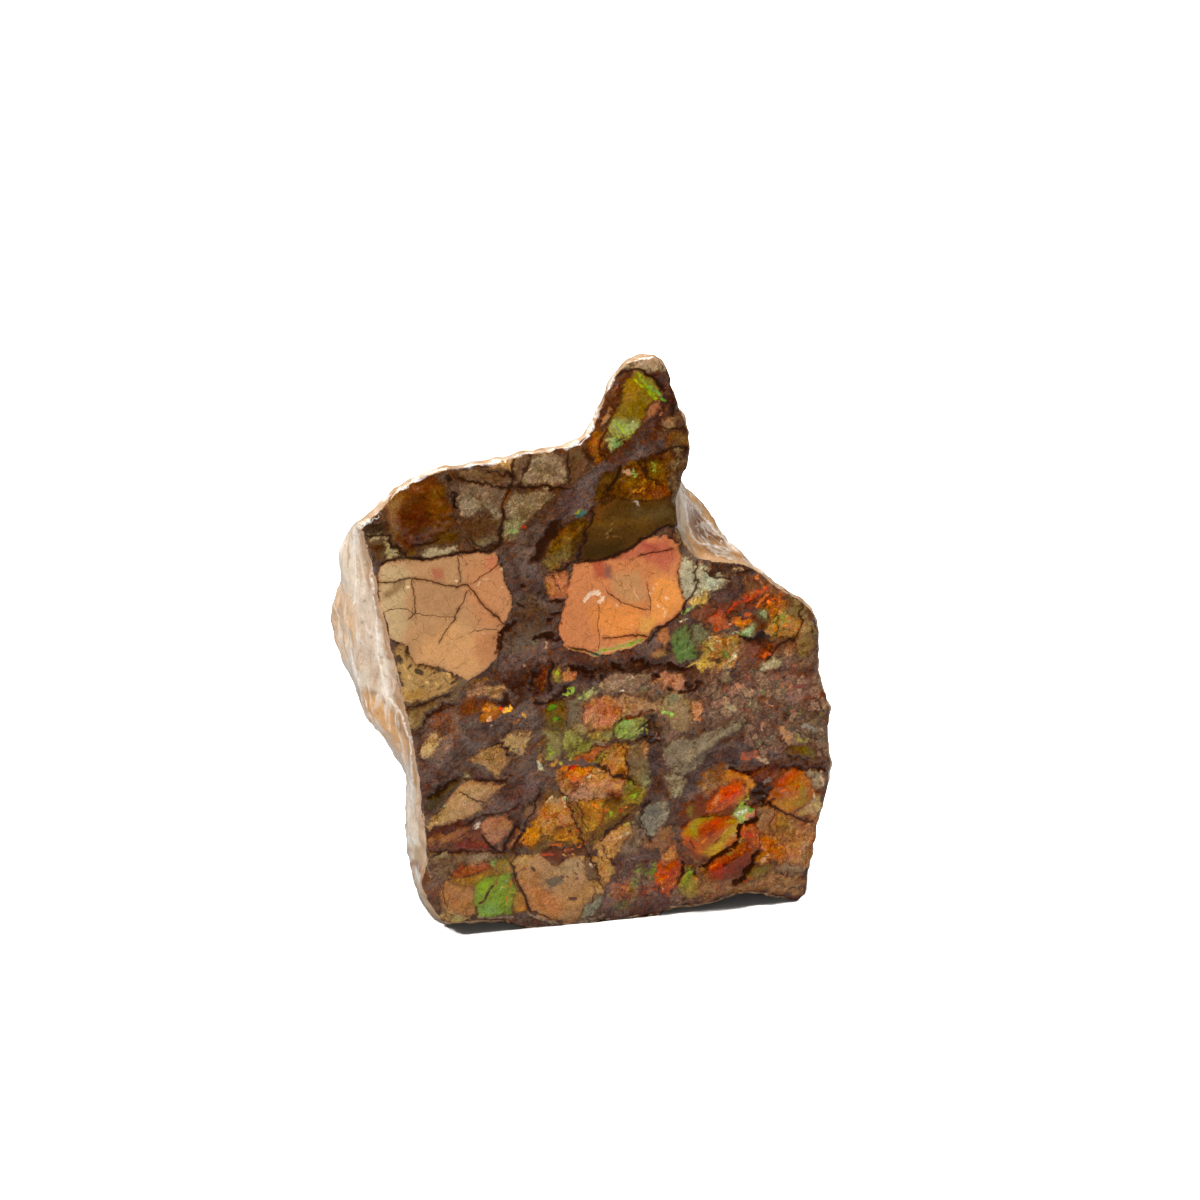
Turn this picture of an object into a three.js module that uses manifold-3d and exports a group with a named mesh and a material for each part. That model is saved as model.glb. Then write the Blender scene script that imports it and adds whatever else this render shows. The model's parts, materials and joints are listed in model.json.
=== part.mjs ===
// Ammolite specimen: one loose stone with a polished face of crushed fossil shell.
// The broad face leans back a little and carries a horn on its top edge. Crevices cut into it and
// lobes of shell stand out of it. The sides and the back are broken rock, and a small foot is flat.
// Millimetres, +Z up, the face towards -Y, the origin under the middle of the stone's box.

import * as THREE from "three";
import { mergeVertices } from "three/addons/utils/BufferGeometryUtils.js";
import { ImprovedNoise } from "three/addons/math/ImprovedNoise.js";
import Module from "manifold-3d";

// ---- Driving dimensions ----------------------------------------------------------------------

const LEAN = THREE.MathUtils.degToRad(6); // how far the face leans back
const SIDE_DEPTH = 6; // the four cross-sections lie this far behind the face
const MIDDLE_DEPTH = 12;
const BACK_DEPTH = 18.5;
const RIM_DEPTH = 1.3; // the face's edge rounds off over this depth
const RIM_REACH = 0.45; // and grows outwards by this much
const EDGE_DROP = 0.35; // the face falls back by this much along its edge
const BACK_SWELL = 5; // the middle of the back stands this far behind the last section
const FACE_POINT = new THREE.Vector3(0.39, -9.47, 36.95); // the face's point at the middle of the sheet

const EDGE_STEP = 1.3; // distance between points along the face's edge
const FACE_STEP = 1.25; // and between points on the face
const BACK_STEP = 2; // and on the back
const RINGS = 11; // rings of points between the rim and the back

// The outlines are drawn on a square sheet, as an eye in front of the stone sees them: it stands to
// the left of the face and a little above it. A point of the sheet is a point of a plane that is
// parallel to the face, at the depth its outline is drawn for.
const SHEET_SIDE = 1200;
const SHEET_FOCUS = (SHEET_SIDE * 100) / 36;
const EYE_DISTANCE = 375;
const EYE_AZIMUTH = THREE.MathUtils.degToRad(-16);
const EYE_ELEVATION = THREE.MathUtils.degToRad(15);

// ---- Outlines, in sheet units, clockwise from the upper left corner -----------------------------

const FACE = [
  // top edge
  [362, 526], [374, 517], [384, 507], [393, 496], [404, 487], [417, 480], [432, 474], [450, 469],
  [472, 466], [495, 462], [513, 458], [530, 453], [550, 452], [570, 447], [583, 441],
  // horn
  [592, 430], [599, 414], [605, 398], [611, 384], [620, 370], [633, 361], [649, 357], [664, 361],
  [671, 374], [674, 390], [679, 403], [685, 417], [689, 430], [692, 444], [690, 460], [684, 480],
  // notch and right shoulder
  [678, 500], [679, 522], [685, 544], [697, 556], [712, 561], [728, 562], [744, 564], [759, 571],
  [774, 584], [790, 594], [807, 604], [817, 618], [821, 635], [820, 655],
  // right edge
  [821, 675], [825, 692], [832, 706], [830, 724], [830, 745], [832, 768], [829, 788], [822, 810],
  [817, 838], [812, 860], [808, 880], [804, 898],
  // bottom edge
  [786, 900], [768, 895], [748, 893], [731, 896], [723, 901], [707, 904], [690, 907], [672, 908],
  [660, 915], [640, 915], [620, 918], [600, 921], [580, 925], [560, 928], [540, 930], [522, 926],
  [505, 922], [485, 922], [465, 923], [448, 925],
  // left edge
  [436, 914], [427, 899], [422, 882], [427, 866], [426, 845], [424, 820], [421, 795], [418, 775],
  [413, 745], [407, 715], [401, 688], [394, 660], [387, 630], [380, 602], [376, 580], [371, 560],
  [365, 541],
];

const SIDE = [
  [354, 525], [370, 518], [386, 505], [399, 494], [420, 484], [450, 475], [490, 469], [530, 462],
  [567, 456], [594, 442], [603, 420], [611, 400], [620, 381], [632, 370], [647, 368], [659, 378],
  [664, 396], [671, 418], [676, 440], [674, 462], [682, 482], [690, 506], [697, 527], [708, 543],
  [725, 553], [743, 561], [762, 575], [780, 588], [798, 606], [805, 630], [805, 660], [810, 700],
  [814, 740], [814, 770], [807, 800], [799, 840], [790, 880], [770, 886], [735, 884], [700, 894],
  [650, 904], [600, 911], [560, 918], [510, 920], [460, 921], [434, 918], [421, 899], [412, 874],
  [406, 845], [405, 810], [407, 785], [402, 762], [390, 740], [373, 718], [364, 696], [357, 665],
  [350, 630], [345, 600], [342, 575], [341, 552], [345, 538],
];

const MIDDLE = [
  [352, 545], [368, 528], [392, 514], [430, 501], [480, 490], [530, 484], [580, 474], [620, 466],
  [655, 468], [678, 480], [693, 493], [706, 506], [718, 521], [728, 539], [741, 555], [758, 571],
  [776, 590], [790, 615], [795, 650], [798, 700], [801, 745], [799, 780], [788, 820], [780, 860],
  [760, 872], [715, 876], [660, 888], [600, 905], [540, 914], [480, 915], [444, 903], [427, 886],
  [416, 860], [411, 825], [410, 790], [401, 765], [395, 751], [382, 737], [373, 721], [364, 710],
  [359, 696], [356, 682], [349, 670], [340, 651], [334, 631], [332, 613], [334, 602], [340, 590],
  [343, 574], [345, 560],
];

const BACK = [
  [362, 572], [386, 553], [434, 540], [490, 530], [550, 520], [610, 514], [660, 514], [694, 523],
  [714, 541], [734, 568], [752, 600], [764, 640], [770, 690], [773, 740], [766, 790], [750, 836],
  [724, 860], [680, 868], [620, 876], [550, 886], [484, 888], [442, 876], [421, 846], [409, 800],
  [397, 756], [378, 720], [358, 684], [349, 650], [346, 620], [352, 594],
];

const HUB = [610, 690]; // the point that each outline goes round

// ---- Relief of the face, in sheet units ----------------------------------------------------------

// Each crevice is a line with its half width and its depth in millimetres.
const CREVICES = [
  { halfWidth: 1.2, depth: 1.0, line: [[426, 802], [438, 794], [447, 784], [459, 776]] },
  { halfWidth: 0.9, depth: 0.7, line: [[459, 776], [482, 779], [503, 780], [511, 775]] },
  { halfWidth: 1.0, depth: 0.8, line: [[464, 826], [474, 817], [490, 813], [508, 811], [522, 803]] },
  { halfWidth: 0.9, depth: 0.7, line: [[430, 848], [460, 850], [485, 849], [510, 850]] },
  { halfWidth: 0.9, depth: 0.7, line: [[510, 850], [519, 833], [534, 816]] },
  { halfWidth: 1.0, depth: 0.7, line: [[418, 727], [427, 715], [450, 703]] },
  { halfWidth: 0.9, depth: 0.9, line: [[541, 664], [540, 694]] },
  { halfWidth: 1.0, depth: 0.7, line: [[497, 645], [511, 627]] },
  { halfWidth: 1.0, depth: 0.7, line: [[536, 557], [546, 540], [558, 520]] },
  { halfWidth: 0.9, depth: 0.6, line: [[574, 664], [592, 671], [620, 666], [650, 673], [684, 664]] },
  { halfWidth: 0.9, depth: 0.7, line: [[662, 689], [680, 691], [698, 685]] },
  { halfWidth: 0.9, depth: 0.7, line: [[546, 701], [562, 693], [580, 698]] },
  { halfWidth: 1.0, depth: 0.9, line: [[612, 729], [620, 717], [636, 713], [654, 711]] },
  { halfWidth: 1.2, depth: 0.8, line: [[640, 738], [650, 727], [664, 736]] },
  { halfWidth: 0.9, depth: 0.6, line: [[560, 777], [571, 764], [596, 765]] },
  { halfWidth: 0.9, depth: 0.6, line: [[580, 752], [594, 746], [612, 743]] },
  { halfWidth: 1.2, depth: 0.8, line: [[608, 793], [622, 795]] },
  { halfWidth: 1.2, depth: 1.1, line: [[728, 768], [746, 773], [768, 765], [796, 763], [824, 770]] },
  { halfWidth: 1.0, depth: 1.1, line: [[704, 861], [720, 850], [736, 842], [738, 824], [757, 817]] },
  { halfWidth: 1.1, depth: 1.0, line: [[757, 817], [762, 800], [769, 789]] },
  { halfWidth: 1.0, depth: 1.0, line: [[738, 880], [749, 866], [758, 847]] },
  { halfWidth: 0.9, depth: 0.9, line: [[674, 886], [681, 868], [695, 872]] },
  { halfWidth: 0.9, depth: 0.5, line: [[480, 904], [489, 889], [497, 872]] },
];

// Each lobe is a lump of shell that stands out of the face, with its height in millimetres.
const LOBES = [
  { height: 0.8, outline: [[706, 812], [715, 796], [729, 785], [741, 782], [744, 794], [734, 807]] },
  { height: 1.0, outline: [[686, 842], [690, 826], [705, 816], [736, 818], [735, 834], [718, 848], [701, 858]] },
  { height: 0.9, outline: [[702, 876], [712, 862], [732, 849], [749, 843], [752, 856], [736, 872], [720, 881]] },
  { height: 0.8, outline: [[770, 802], [778, 788], [794, 772], [812, 784], [812, 800], [790, 810]] },
  { height: 0.8, outline: [[758, 860], [764, 840], [779, 841], [788, 860], [778, 870], [766, 868]] },
  { height: 0.6, outline: [[660, 890], [659, 868], [677, 862], [672, 884]] },
  { height: 0.5, outline: [[384, 522], [388, 502], [412, 483], [436, 479], [450, 500], [452, 522], [412, 546]] },
  { height: 0.5, outline: [[428, 828], [450, 798], [474, 783], [502, 786], [482, 808], [452, 822]] },
  { height: 0.4, outline: [[484, 838], [484, 820], [502, 817], [513, 828], [498, 843]] },
  { height: 0.4, outline: [[472, 764], [482, 752], [500, 744], [510, 758], [502, 776], [486, 770]] },
  { height: 0.5, outline: [[566, 780], [574, 768], [598, 769], [624, 781], [604, 790], [582, 786]] },
];

// ---- From the sheet to the stone -----------------------------------------------------------------

const faceRight = new THREE.Vector3(1, 0, 0);
const faceUp = new THREE.Vector3(0, Math.sin(LEAN), Math.cos(LEAN));
const faceIn = new THREE.Vector3(0, Math.cos(LEAN), -Math.sin(LEAN));

const eyeBack = new THREE.Vector3(
  Math.sin(EYE_AZIMUTH) * Math.cos(EYE_ELEVATION),
  -Math.cos(EYE_AZIMUTH) * Math.cos(EYE_ELEVATION),
  Math.sin(EYE_ELEVATION),
);
const eyeRight = new THREE.Vector3(Math.cos(EYE_AZIMUTH), Math.sin(EYE_AZIMUTH), 0);
const eyeUp = new THREE.Vector3().crossVectors(eyeBack, eyeRight);
const eye = FACE_POINT.clone().addScaledVector(eyeBack, EYE_DISTANCE);

// The point of the plane at this depth behind the face that the eye sees at a point of the sheet,
// as millimetres to the right and up along the face.
function onPlane([x, y], depth) {
  const ray = eyeBack
    .clone()
    .multiplyScalar(-SHEET_FOCUS)
    .addScaledVector(eyeRight, x - SHEET_SIDE / 2)
    .addScaledVector(eyeUp, SHEET_SIDE / 2 - y);
  const toEye = eye.clone().sub(FACE_POINT);
  const reach = (depth - toEye.dot(faceIn)) / ray.dot(faceIn);
  const point = toEye.addScaledVector(ray, reach);
  return new THREE.Vector2(point.dot(faceRight), point.dot(faceUp));
}

function inSpace(flat, depth) {
  return FACE_POINT.clone()
    .addScaledVector(faceRight, flat.x)
    .addScaledVector(faceUp, flat.y)
    .addScaledVector(faceIn, depth);
}

// ---- Flat geometry -------------------------------------------------------------------------------

// A closed outline of the sheet as evenly spaced points of its plane, smooth through its corners.
function smoothOutline(points, depth, step) {
  const corners = points.map((p) => {
    const flat = onPlane(p, depth);
    return new THREE.Vector3(flat.x, flat.y, 0);
  });
  const curve = new THREE.CatmullRomCurve3(corners, true, "centripetal");
  const count = Math.round(curve.getLength() / step);
  return curve
    .getSpacedPoints(count)
    .slice(0, count)
    .map((p) => new THREE.Vector2(p.x, p.y));
}

function distanceToLine(point, line, closed) {
  let nearest = Infinity;
  const last = closed ? line.length : line.length - 1;
  for (let i = 0; i < last; i++) {
    const from = line[i];
    const along = line[(i + 1) % line.length].clone().sub(from);
    const off = point.clone().sub(from);
    const share = THREE.MathUtils.clamp(off.dot(along) / along.lengthSq(), 0, 1);
    nearest = Math.min(nearest, off.addScaledVector(along, -share).length());
  }
  return nearest;
}

function isInside(point, outline) {
  let inside = false;
  outline.forEach((a, i) => {
    const b = outline[(i + 1) % outline.length];
    const crosses = a.y > point.y !== b.y > point.y;
    if (crosses && point.x < a.x + ((b.x - a.x) * (point.y - a.y)) / (b.y - a.y)) inside = !inside;
  });
  return inside;
}

// How far an outline reaches from the hub in a direction.
function reachOf(outline, hub, angle) {
  const turned = outline.map((p) => p.clone().sub(hub).rotateAround(new THREE.Vector2(), -angle));
  let reach = 0;
  turned.forEach((a, i) => {
    const b = turned[(i + 1) % turned.length];
    if (a.y > 0 === b.y > 0) return;
    reach = Math.max(reach, a.x - (a.y * (b.x - a.x)) / (b.y - a.y));
  });
  return reach;
}

// Triangles between points, none of which lies in the circle of another three (Bowyer and Watson).
function triangulate(points) {
  const far = 1e4;
  const all = [...points, { x: -far, y: -far }, { x: far, y: -far }, { x: 0, y: far }];
  const outer = points.length;
  const circled = (i, j, k) => {
    const [a, b, c] = [all[i], all[j], all[k]];
    const [bx, by, cx, cy] = [b.x - a.x, b.y - a.y, c.x - a.x, c.y - a.y];
    const twice = 2 * (bx * cy - by * cx);
    const x = (cy * (bx * bx + by * by) - by * (cx * cx + cy * cy)) / twice;
    const y = (bx * (cx * cx + cy * cy) - cx * (bx * bx + by * by)) / twice;
    return { corners: [i, j, k], x: a.x + x, y: a.y + y, square: x * x + y * y };
  };
  let triangles = [circled(outer, outer + 1, outer + 2)];
  points.forEach((p, index) => {
    const edges = new Map();
    triangles = triangles.filter((t) => {
      if ((p.x - t.x) ** 2 + (p.y - t.y) ** 2 >= t.square) return true;
      t.corners.forEach((from, n) => {
        const to = t.corners[(n + 1) % 3];
        if (!edges.delete(`${to} ${from}`)) edges.set(`${from} ${to}`, [from, to]);
      });
      return false;
    });
    for (const [from, to] of edges.values()) triangles.push(circled(from, to, index));
  });
  return triangles.map((t) => t.corners).filter((corners) => corners.every((i) => i < outer));
}

// Points inside an outline, in rows a step apart, clear of its edge and of the points given.
function fillPoints(outline, step, kept) {
  const box = new THREE.Box2().setFromPoints(outline);
  const rowStep = (step * Math.sqrt(3)) / 2;
  const points = [...kept];
  let row = 0;
  for (let y = box.min.y; y < box.max.y; y += rowStep) {
    row += 1;
    for (let x = box.min.x + (row % 2) * (step / 2); x < box.max.x; x += step) {
      const shake = 0.12 * step;
      const point = new THREE.Vector2(
        x + shake * Math.sin(12.7 * x + 3.1 * y),
        y + shake * Math.sin(4.3 * x + 9.1 * y),
      );
      const clear = kept.every((k) => k.distanceTo(point) > 0.72 * step);
      if (clear && isInside(point, outline) && distanceToLine(point, outline, true) > 0.68 * step) {
        points.push(point);
      }
    }
  }
  return points;
}

// ---- Surfaces ------------------------------------------------------------------------------------

const noise = new ImprovedNoise();

function roughness(point, size) {
  return noise.noise(point.x / size, point.y / size, point.z / size);
}

const flatLine = (line) => line.map((p) => onPlane(p, 0));
const crevices = CREVICES.map((c) => ({ ...c, line: flatLine(c.line) }));
const lobes = LOBES.map((l) => ({ ...l, outline: flatLine(l.outline) }));

// How deep the face lies at a point of it: crevices sink, lobes and ripples rise, the edge rounds.
function faceDepth(flat, edge) {
  const EDGE_ROUND = 1.6;
  const RIPPLE = 0.35;
  const RIPPLE_SIZE = 9;
  const LOBE_SHOULDER = 1.9;
  const toEdge = distanceToLine(flat, edge, true);
  const calm = THREE.MathUtils.smoothstep(toEdge, 0, 2 * EDGE_ROUND);
  let depth = EDGE_DROP * (1 - Math.min(1, toEdge / EDGE_ROUND)) ** 2;
  depth += calm * RIPPLE * noise.noise(flat.x / RIPPLE_SIZE, flat.y / RIPPLE_SIZE, 0.5);
  let raised = 0;
  for (const lobe of lobes) {
    if (!isInside(flat, lobe.outline)) continue;
    const share = Math.min(1, distanceToLine(flat, lobe.outline, true) / LOBE_SHOULDER);
    raised = Math.max(raised, lobe.height * Math.sin((share * Math.PI) / 2));
  }
  let sunk = 0;
  let clearance = 1;
  for (const crevice of crevices) {
    const share = Math.min(1, distanceToLine(flat, crevice.line, false) / crevice.halfWidth);
    sunk = Math.max(sunk, crevice.depth * (1 - share));
    clearance = Math.min(clearance, share);
  }
  return depth - raised * clearance + sunk;
}

// Points along a line of the face, a step apart, on it and beside it at the distances given.
function pointsAlong(line, step, besides) {
  const path = new THREE.CurvePath();
  line.slice(1).forEach((to, i) => path.add(new THREE.LineCurve(line[i], to)));
  const count = Math.max(1, Math.round(path.getLength() / step));
  return besides.flatMap((beside) =>
    Array.from({ length: count + 1 }, (_, i) => {
      const along = path.getTangentAt(i / count);
      const across = new THREE.Vector2(-along.y, along.x);
      return path.getPointAt(i / count).addScaledVector(across, beside);
    }),
  );
}

function faceTriangles(edge) {
  const kept = [...edge];
  const traced = [
    ...crevices.flatMap((c) => pointsAlong(c.line, 0.8 * FACE_STEP, [0, c.halfWidth, -c.halfWidth])),
    ...lobes.flatMap((l) => pointsAlong([...l.outline, l.outline[0]], 0.9 * FACE_STEP, [0])),
  ];
  for (const point of traced) {
    const clear = kept.every((k) => k.distanceTo(point) > 0.6 * FACE_STEP);
    const inside = isInside(point, edge) && distanceToLine(point, edge, true) > 0.6 * FACE_STEP;
    if (clear && inside) kept.push(point);
  }
  const flat = fillPoints(edge, FACE_STEP, kept);
  const placed = flat.map((p, i) => inSpace(p, i < edge.length ? EDGE_DROP : faceDepth(p, edge)));
  return cutToOutline(flat, edge).flatMap((corners) => corners.map((i) => placed[i]));
}

// The triangles between flat points that lie inside an outline.
function cutToOutline(flat, outline) {
  return triangulate(flat).filter(([i, j, k]) => {
    const middle = flat[i].clone().add(flat[j]).add(flat[k]).divideScalar(3);
    return isInside(middle, outline);
  });
}

// The back is broken along a few flat breaks. Each break gives its distance behind the last section
// at the hub, in millimetres, and how it falls away to the right and upwards.
const BREAKS = [
  { behind: BACK_SWELL, right: 0.05, up: 0.04 },
  { behind: BACK_SWELL + 2.6, right: 0.3, up: 0.05 },
  { behind: BACK_SWELL + 1.4, right: -0.22, up: 0.1 },
  { behind: BACK_SWELL + 1.2, right: -0.06, up: 0.27 },
  { behind: BACK_SWELL + 1.6, right: 0.12, up: -0.24 },
  { behind: BACK_SWELL + 3.6, right: 0.28, up: 0.3 },
];

function backDepth(flat, edge, hub) {
  const ROUND = 5;
  const LEAST = 0.8;
  const LUMP = 1.3;
  const LUMP_SIZE = 5;
  const off = flat.clone().sub(hub);
  const broken = Math.min(...BREAKS.map((b) => b.behind - b.right * off.x - b.up * off.y));
  const share = Math.min(1, distanceToLine(flat, edge, true) / ROUND);
  const lump = LUMP * noise.noise(flat.x / LUMP_SIZE, flat.y / LUMP_SIZE, 7.3);
  return BACK_DEPTH + (Math.max(LEAST, broken) + lump) * Math.sin((share * Math.PI) / 2);
}

function backTriangles(edge, hub) {
  const flat = fillPoints(edge, BACK_STEP, edge);
  const placed = flat.map((p, i) => inSpace(p, i < edge.length ? BACK_DEPTH : backDepth(p, edge, hub)));
  return cutToOutline(flat, edge).flatMap(([i, j, k]) => [placed[i], placed[k], placed[j]]);
}

// The wall from the face's edge over the rim, the side and the middle to the back: one spline for
// each point of the edge, roughened more the further back it lies.
function wallRings(edge, hub) {
  const side = smoothOutline(SIDE, SIDE_DEPTH, 1);
  const middle = smoothOutline(MIDDLE, MIDDLE_DEPTH, 1);
  const back = smoothOutline(BACK, BACK_DEPTH, 1);
  const LUMP = 0.9;
  const LUMP_SIZE = 4.5;
  const GRAIN = 0.35;
  const GRAIN_SIZE = 1.9;
  const rings = Array.from({ length: RINGS + 2 }, () => []);
  for (const point of edge) {
    const off = point.clone().sub(hub);
    const angle = off.angle();
    const spline = new THREE.SplineCurve([
      new THREE.Vector2(RIM_DEPTH, off.length() + RIM_REACH),
      new THREE.Vector2(SIDE_DEPTH, reachOf(side, hub, angle)),
      new THREE.Vector2(MIDDLE_DEPTH, reachOf(middle, hub, angle)),
      new THREE.Vector2(BACK_DEPTH, reachOf(back, hub, angle)),
    ]);
    rings[0].push({ flat: point, depth: EDGE_DROP });
    for (let n = 0; n <= RINGS; n++) {
      const at = spline.getPoint(n / RINGS);
      const outward = new THREE.Vector2(Math.cos(angle), Math.sin(angle));
      const place = inSpace(hub.clone().addScaledVector(outward, at.y), at.x);
      const worn = THREE.MathUtils.smoothstep(at.x, RIM_DEPTH, MIDDLE_DEPTH);
      const rough = LUMP * roughness(place, LUMP_SIZE) + GRAIN * roughness(place, GRAIN_SIZE);
      const flat = hub.clone().addScaledVector(outward, at.y + worn * rough);
      rings[n + 1].push({ flat, depth: at.x });
    }
  }
  return rings;
}

function wallTriangles(rings) {
  const corners = [];
  const place = ({ flat, depth }) => inSpace(flat, depth);
  rings.slice(1).forEach((ring, n) => {
    ring.forEach((_, i) => {
      const next = (i + 1) % ring.length;
      const [a, b] = [place(rings[n][i]), place(rings[n][next])];
      const [c, d] = [place(ring[i]), place(ring[next])];
      if (a.distanceTo(d) < b.distanceTo(c)) corners.push(a, d, b, a, c, d);
      else corners.push(a, c, b, b, c, d);
    });
  });
  return corners;
}

// ---- Solids --------------------------------------------------------------------------------------

const wasm = await Module();
wasm.setup();

function solidOf(geometry) {
  const bare = geometry.clone();
  bare.deleteAttribute("normal");
  bare.deleteAttribute("uv");
  const merged = mergeVertices(bare, 1e-4);
  const vertProperties = merged.attributes.position.array;
  const triVerts = new Uint32Array(merged.index.array);
  return new wasm.Manifold(new wasm.Mesh({ numProp: 3, vertProperties, triVerts }));
}

function geometryOf(solid) {
  const mesh = solid.getMesh();
  const geometry = new THREE.BufferGeometry();
  geometry.setAttribute("position", new THREE.BufferAttribute(mesh.vertProperties, 3));
  geometry.setIndex(new THREE.BufferAttribute(mesh.triVerts, 1));
  geometry.computeVertexNormals();
  return geometry;
}

function closedStone() {
  const hub = onPlane(HUB, 0);
  const edge = smoothOutline(FACE, 0, EDGE_STEP).reverse();
  const rings = wallRings(edge, hub);
  const last = rings[rings.length - 1].map((p) => p.flat);
  const corners = [...faceTriangles(edge), ...wallTriangles(rings), ...backTriangles(last, hub)];
  const positions = corners.flatMap((p) => [p.x, p.y, p.z]);
  const geometry = new THREE.BufferGeometry();
  geometry.setAttribute("position", new THREE.Float32BufferAttribute(positions, 3));
  return solidOf(geometry);
}

// The stone's underside is ground off at the surface it stands on.
function cutFlatBelow(solid) {
  const ground = new THREE.BoxGeometry(200, 200, 50).translate(0, 0, -25);
  return solid.subtract(solidOf(ground));
}

// ---- The part ------------------------------------------------------------------------------------

const lacqueredStone = new THREE.MeshStandardMaterial({ color: 0x8a6244, roughness: 0.25, metalness: 0 });

const stone = new THREE.Mesh(geometryOf(cutFlatBelow(closedStone())), lacqueredStone);
stone.name = "ammolite_stone";

const group = new THREE.Group();
group.add(stone);

export default group;
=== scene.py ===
"""Ammolite specimen: a loose chunk of rock whose ground and lacquered face shows crushed fossil shell."""

import itertools
import json
import math

import bpy
import numpy as np
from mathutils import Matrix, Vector, noise

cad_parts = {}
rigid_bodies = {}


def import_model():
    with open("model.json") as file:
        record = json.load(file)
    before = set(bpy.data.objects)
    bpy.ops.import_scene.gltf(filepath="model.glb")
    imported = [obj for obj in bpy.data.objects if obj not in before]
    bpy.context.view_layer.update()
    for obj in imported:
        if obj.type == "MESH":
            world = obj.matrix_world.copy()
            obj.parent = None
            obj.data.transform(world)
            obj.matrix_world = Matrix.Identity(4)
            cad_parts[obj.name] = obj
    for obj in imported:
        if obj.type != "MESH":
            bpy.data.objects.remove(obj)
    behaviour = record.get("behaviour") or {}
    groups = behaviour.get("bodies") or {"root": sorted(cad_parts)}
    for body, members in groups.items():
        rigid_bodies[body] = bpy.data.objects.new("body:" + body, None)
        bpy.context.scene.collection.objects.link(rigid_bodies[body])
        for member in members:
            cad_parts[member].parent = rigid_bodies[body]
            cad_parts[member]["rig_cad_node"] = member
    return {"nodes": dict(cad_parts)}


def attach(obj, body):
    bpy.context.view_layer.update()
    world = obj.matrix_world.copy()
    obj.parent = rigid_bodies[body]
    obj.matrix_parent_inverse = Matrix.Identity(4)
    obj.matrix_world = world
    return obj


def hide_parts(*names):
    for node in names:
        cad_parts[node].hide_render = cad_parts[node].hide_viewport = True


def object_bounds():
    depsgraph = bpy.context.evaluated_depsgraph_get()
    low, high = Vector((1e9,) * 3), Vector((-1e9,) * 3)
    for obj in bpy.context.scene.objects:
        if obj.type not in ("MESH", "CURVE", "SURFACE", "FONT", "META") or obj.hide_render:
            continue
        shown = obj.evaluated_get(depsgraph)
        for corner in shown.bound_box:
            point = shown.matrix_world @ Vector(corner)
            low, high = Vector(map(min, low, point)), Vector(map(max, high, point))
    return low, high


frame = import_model()
cad_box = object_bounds()


# ---- Blank of the stone -------------------------------------------------------------------------
# The real piece is one chunk of rock with an ammonite's shell crushed in it. Its front is ground
# nearly flat, its sides and back are left as they broke. A copy of the solid is welded and cut finer:
# the face most of all, because the mosaic is drawn on its points.

MM = 0.001
LEAN = math.radians(6)  # how far the face leans back
FACE_POINT = np.array([0.39, -9.47, 36.95])  # millimetres, as all sizes of the stone below
EDGE_DROP = 0.35  # the face's edge lies this far behind its plane
RIM_DEPTH = 1.3  # and the first ring of the wall this far
RING_SLACK = 0.003  # a point this near to a ring's depth belongs to it
FOOT_SLACK = 0.01  # and this near to the ground, to the foot
WELD_GAP = 1e-7
BLANK_CUTS = 2
FACE_CUTS = 1

face_in = np.array([0, math.cos(LEAN), -math.sin(LEAN)])


def points_of(mesh):
    """A mesh's points in millimetres."""
    flat = np.empty(3 * len(mesh.vertices))
    mesh.vertices.foreach_get("co", flat)
    return flat.reshape(-1, 3) / MM


def set_points(mesh, points):
    """Puts a mesh's points at these millimetres."""
    mesh.vertices.foreach_set("co", (points * MM).ravel())
    mesh.update()


def depth_of(points):
    """How far behind the plane of the face each point lies."""
    return (points - FACE_POINT) @ face_in


def neighbours_of(mesh):
    """For each point of a mesh, the points that an edge joins it to."""
    beside = [[] for _ in mesh.vertices]
    for edge in mesh.edges:
        start, end = edge.vertices
        beside[start].append(end)
        beside[end].append(start)
    return beside


def ground_face(mesh):
    """Marks the triangles of the ground face: all that its middle reaches without passing its rim."""
    places = points_of(mesh)
    depth = depth_of(places)
    beside = neighbours_of(mesh)
    on_edge = np.abs(depth - EDGE_DROP) < RING_SLACK
    on_wall = np.abs(depth - RIM_DEPTH) < RING_SLACK
    on_ground = places[:, 2] < FOOT_SLACK
    middle = int(np.argmin(np.linalg.norm(places - FACE_POINT, axis=1)))
    reached = {middle}
    waiting = [middle]
    while waiting:
        for point in beside[waiting.pop()]:
            if point in reached:
                continue
            reached.add(point)
            meets_wall = on_edge[point] and any(on_wall[other] for other in beside[point])
            if not (on_ground[point] or meets_wall):
                waiting.append(point)
    return [set(polygon.vertices) <= reached for polygon in mesh.polygons]


def border_of(mesh, chosen):
    """The edges that only one of the chosen triangles uses, as pairs of points."""
    used = {}
    for polygon, mark in zip(mesh.polygons, chosen):
        if mark:
            for key in polygon.edge_keys:
                used[key] = used.get(key, 0) + 1
    once = [list(key) for key, times in used.items() if times == 1]
    return points_of(mesh)[np.array(once)]


def edit(mesh_object):
    """Opens one mesh for editing, with all of its faces selected."""
    bpy.ops.object.select_all(action="DESELECT")
    mesh_object.select_set(True)
    bpy.context.view_layer.objects.active = mesh_object
    bpy.ops.object.mode_set(mode="EDIT")
    bpy.ops.mesh.select_mode(type="FACE")
    bpy.ops.mesh.select_all(action="SELECT")


def done_editing():
    bpy.ops.object.mode_set(mode="OBJECT")


def face_marks():
    return stone.data.attributes["ground_face"].data


def edit_part(of_face):
    """Opens the stone for editing with only its ground face selected, or only all the rest."""
    edit(stone)
    bpy.ops.mesh.select_all(action="DESELECT")
    done_editing()
    for polygon, mark in zip(stone.data.polygons, face_marks()):
        polygon.select = mark.value == of_face
    bpy.ops.object.mode_set(mode="EDIT")


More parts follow.
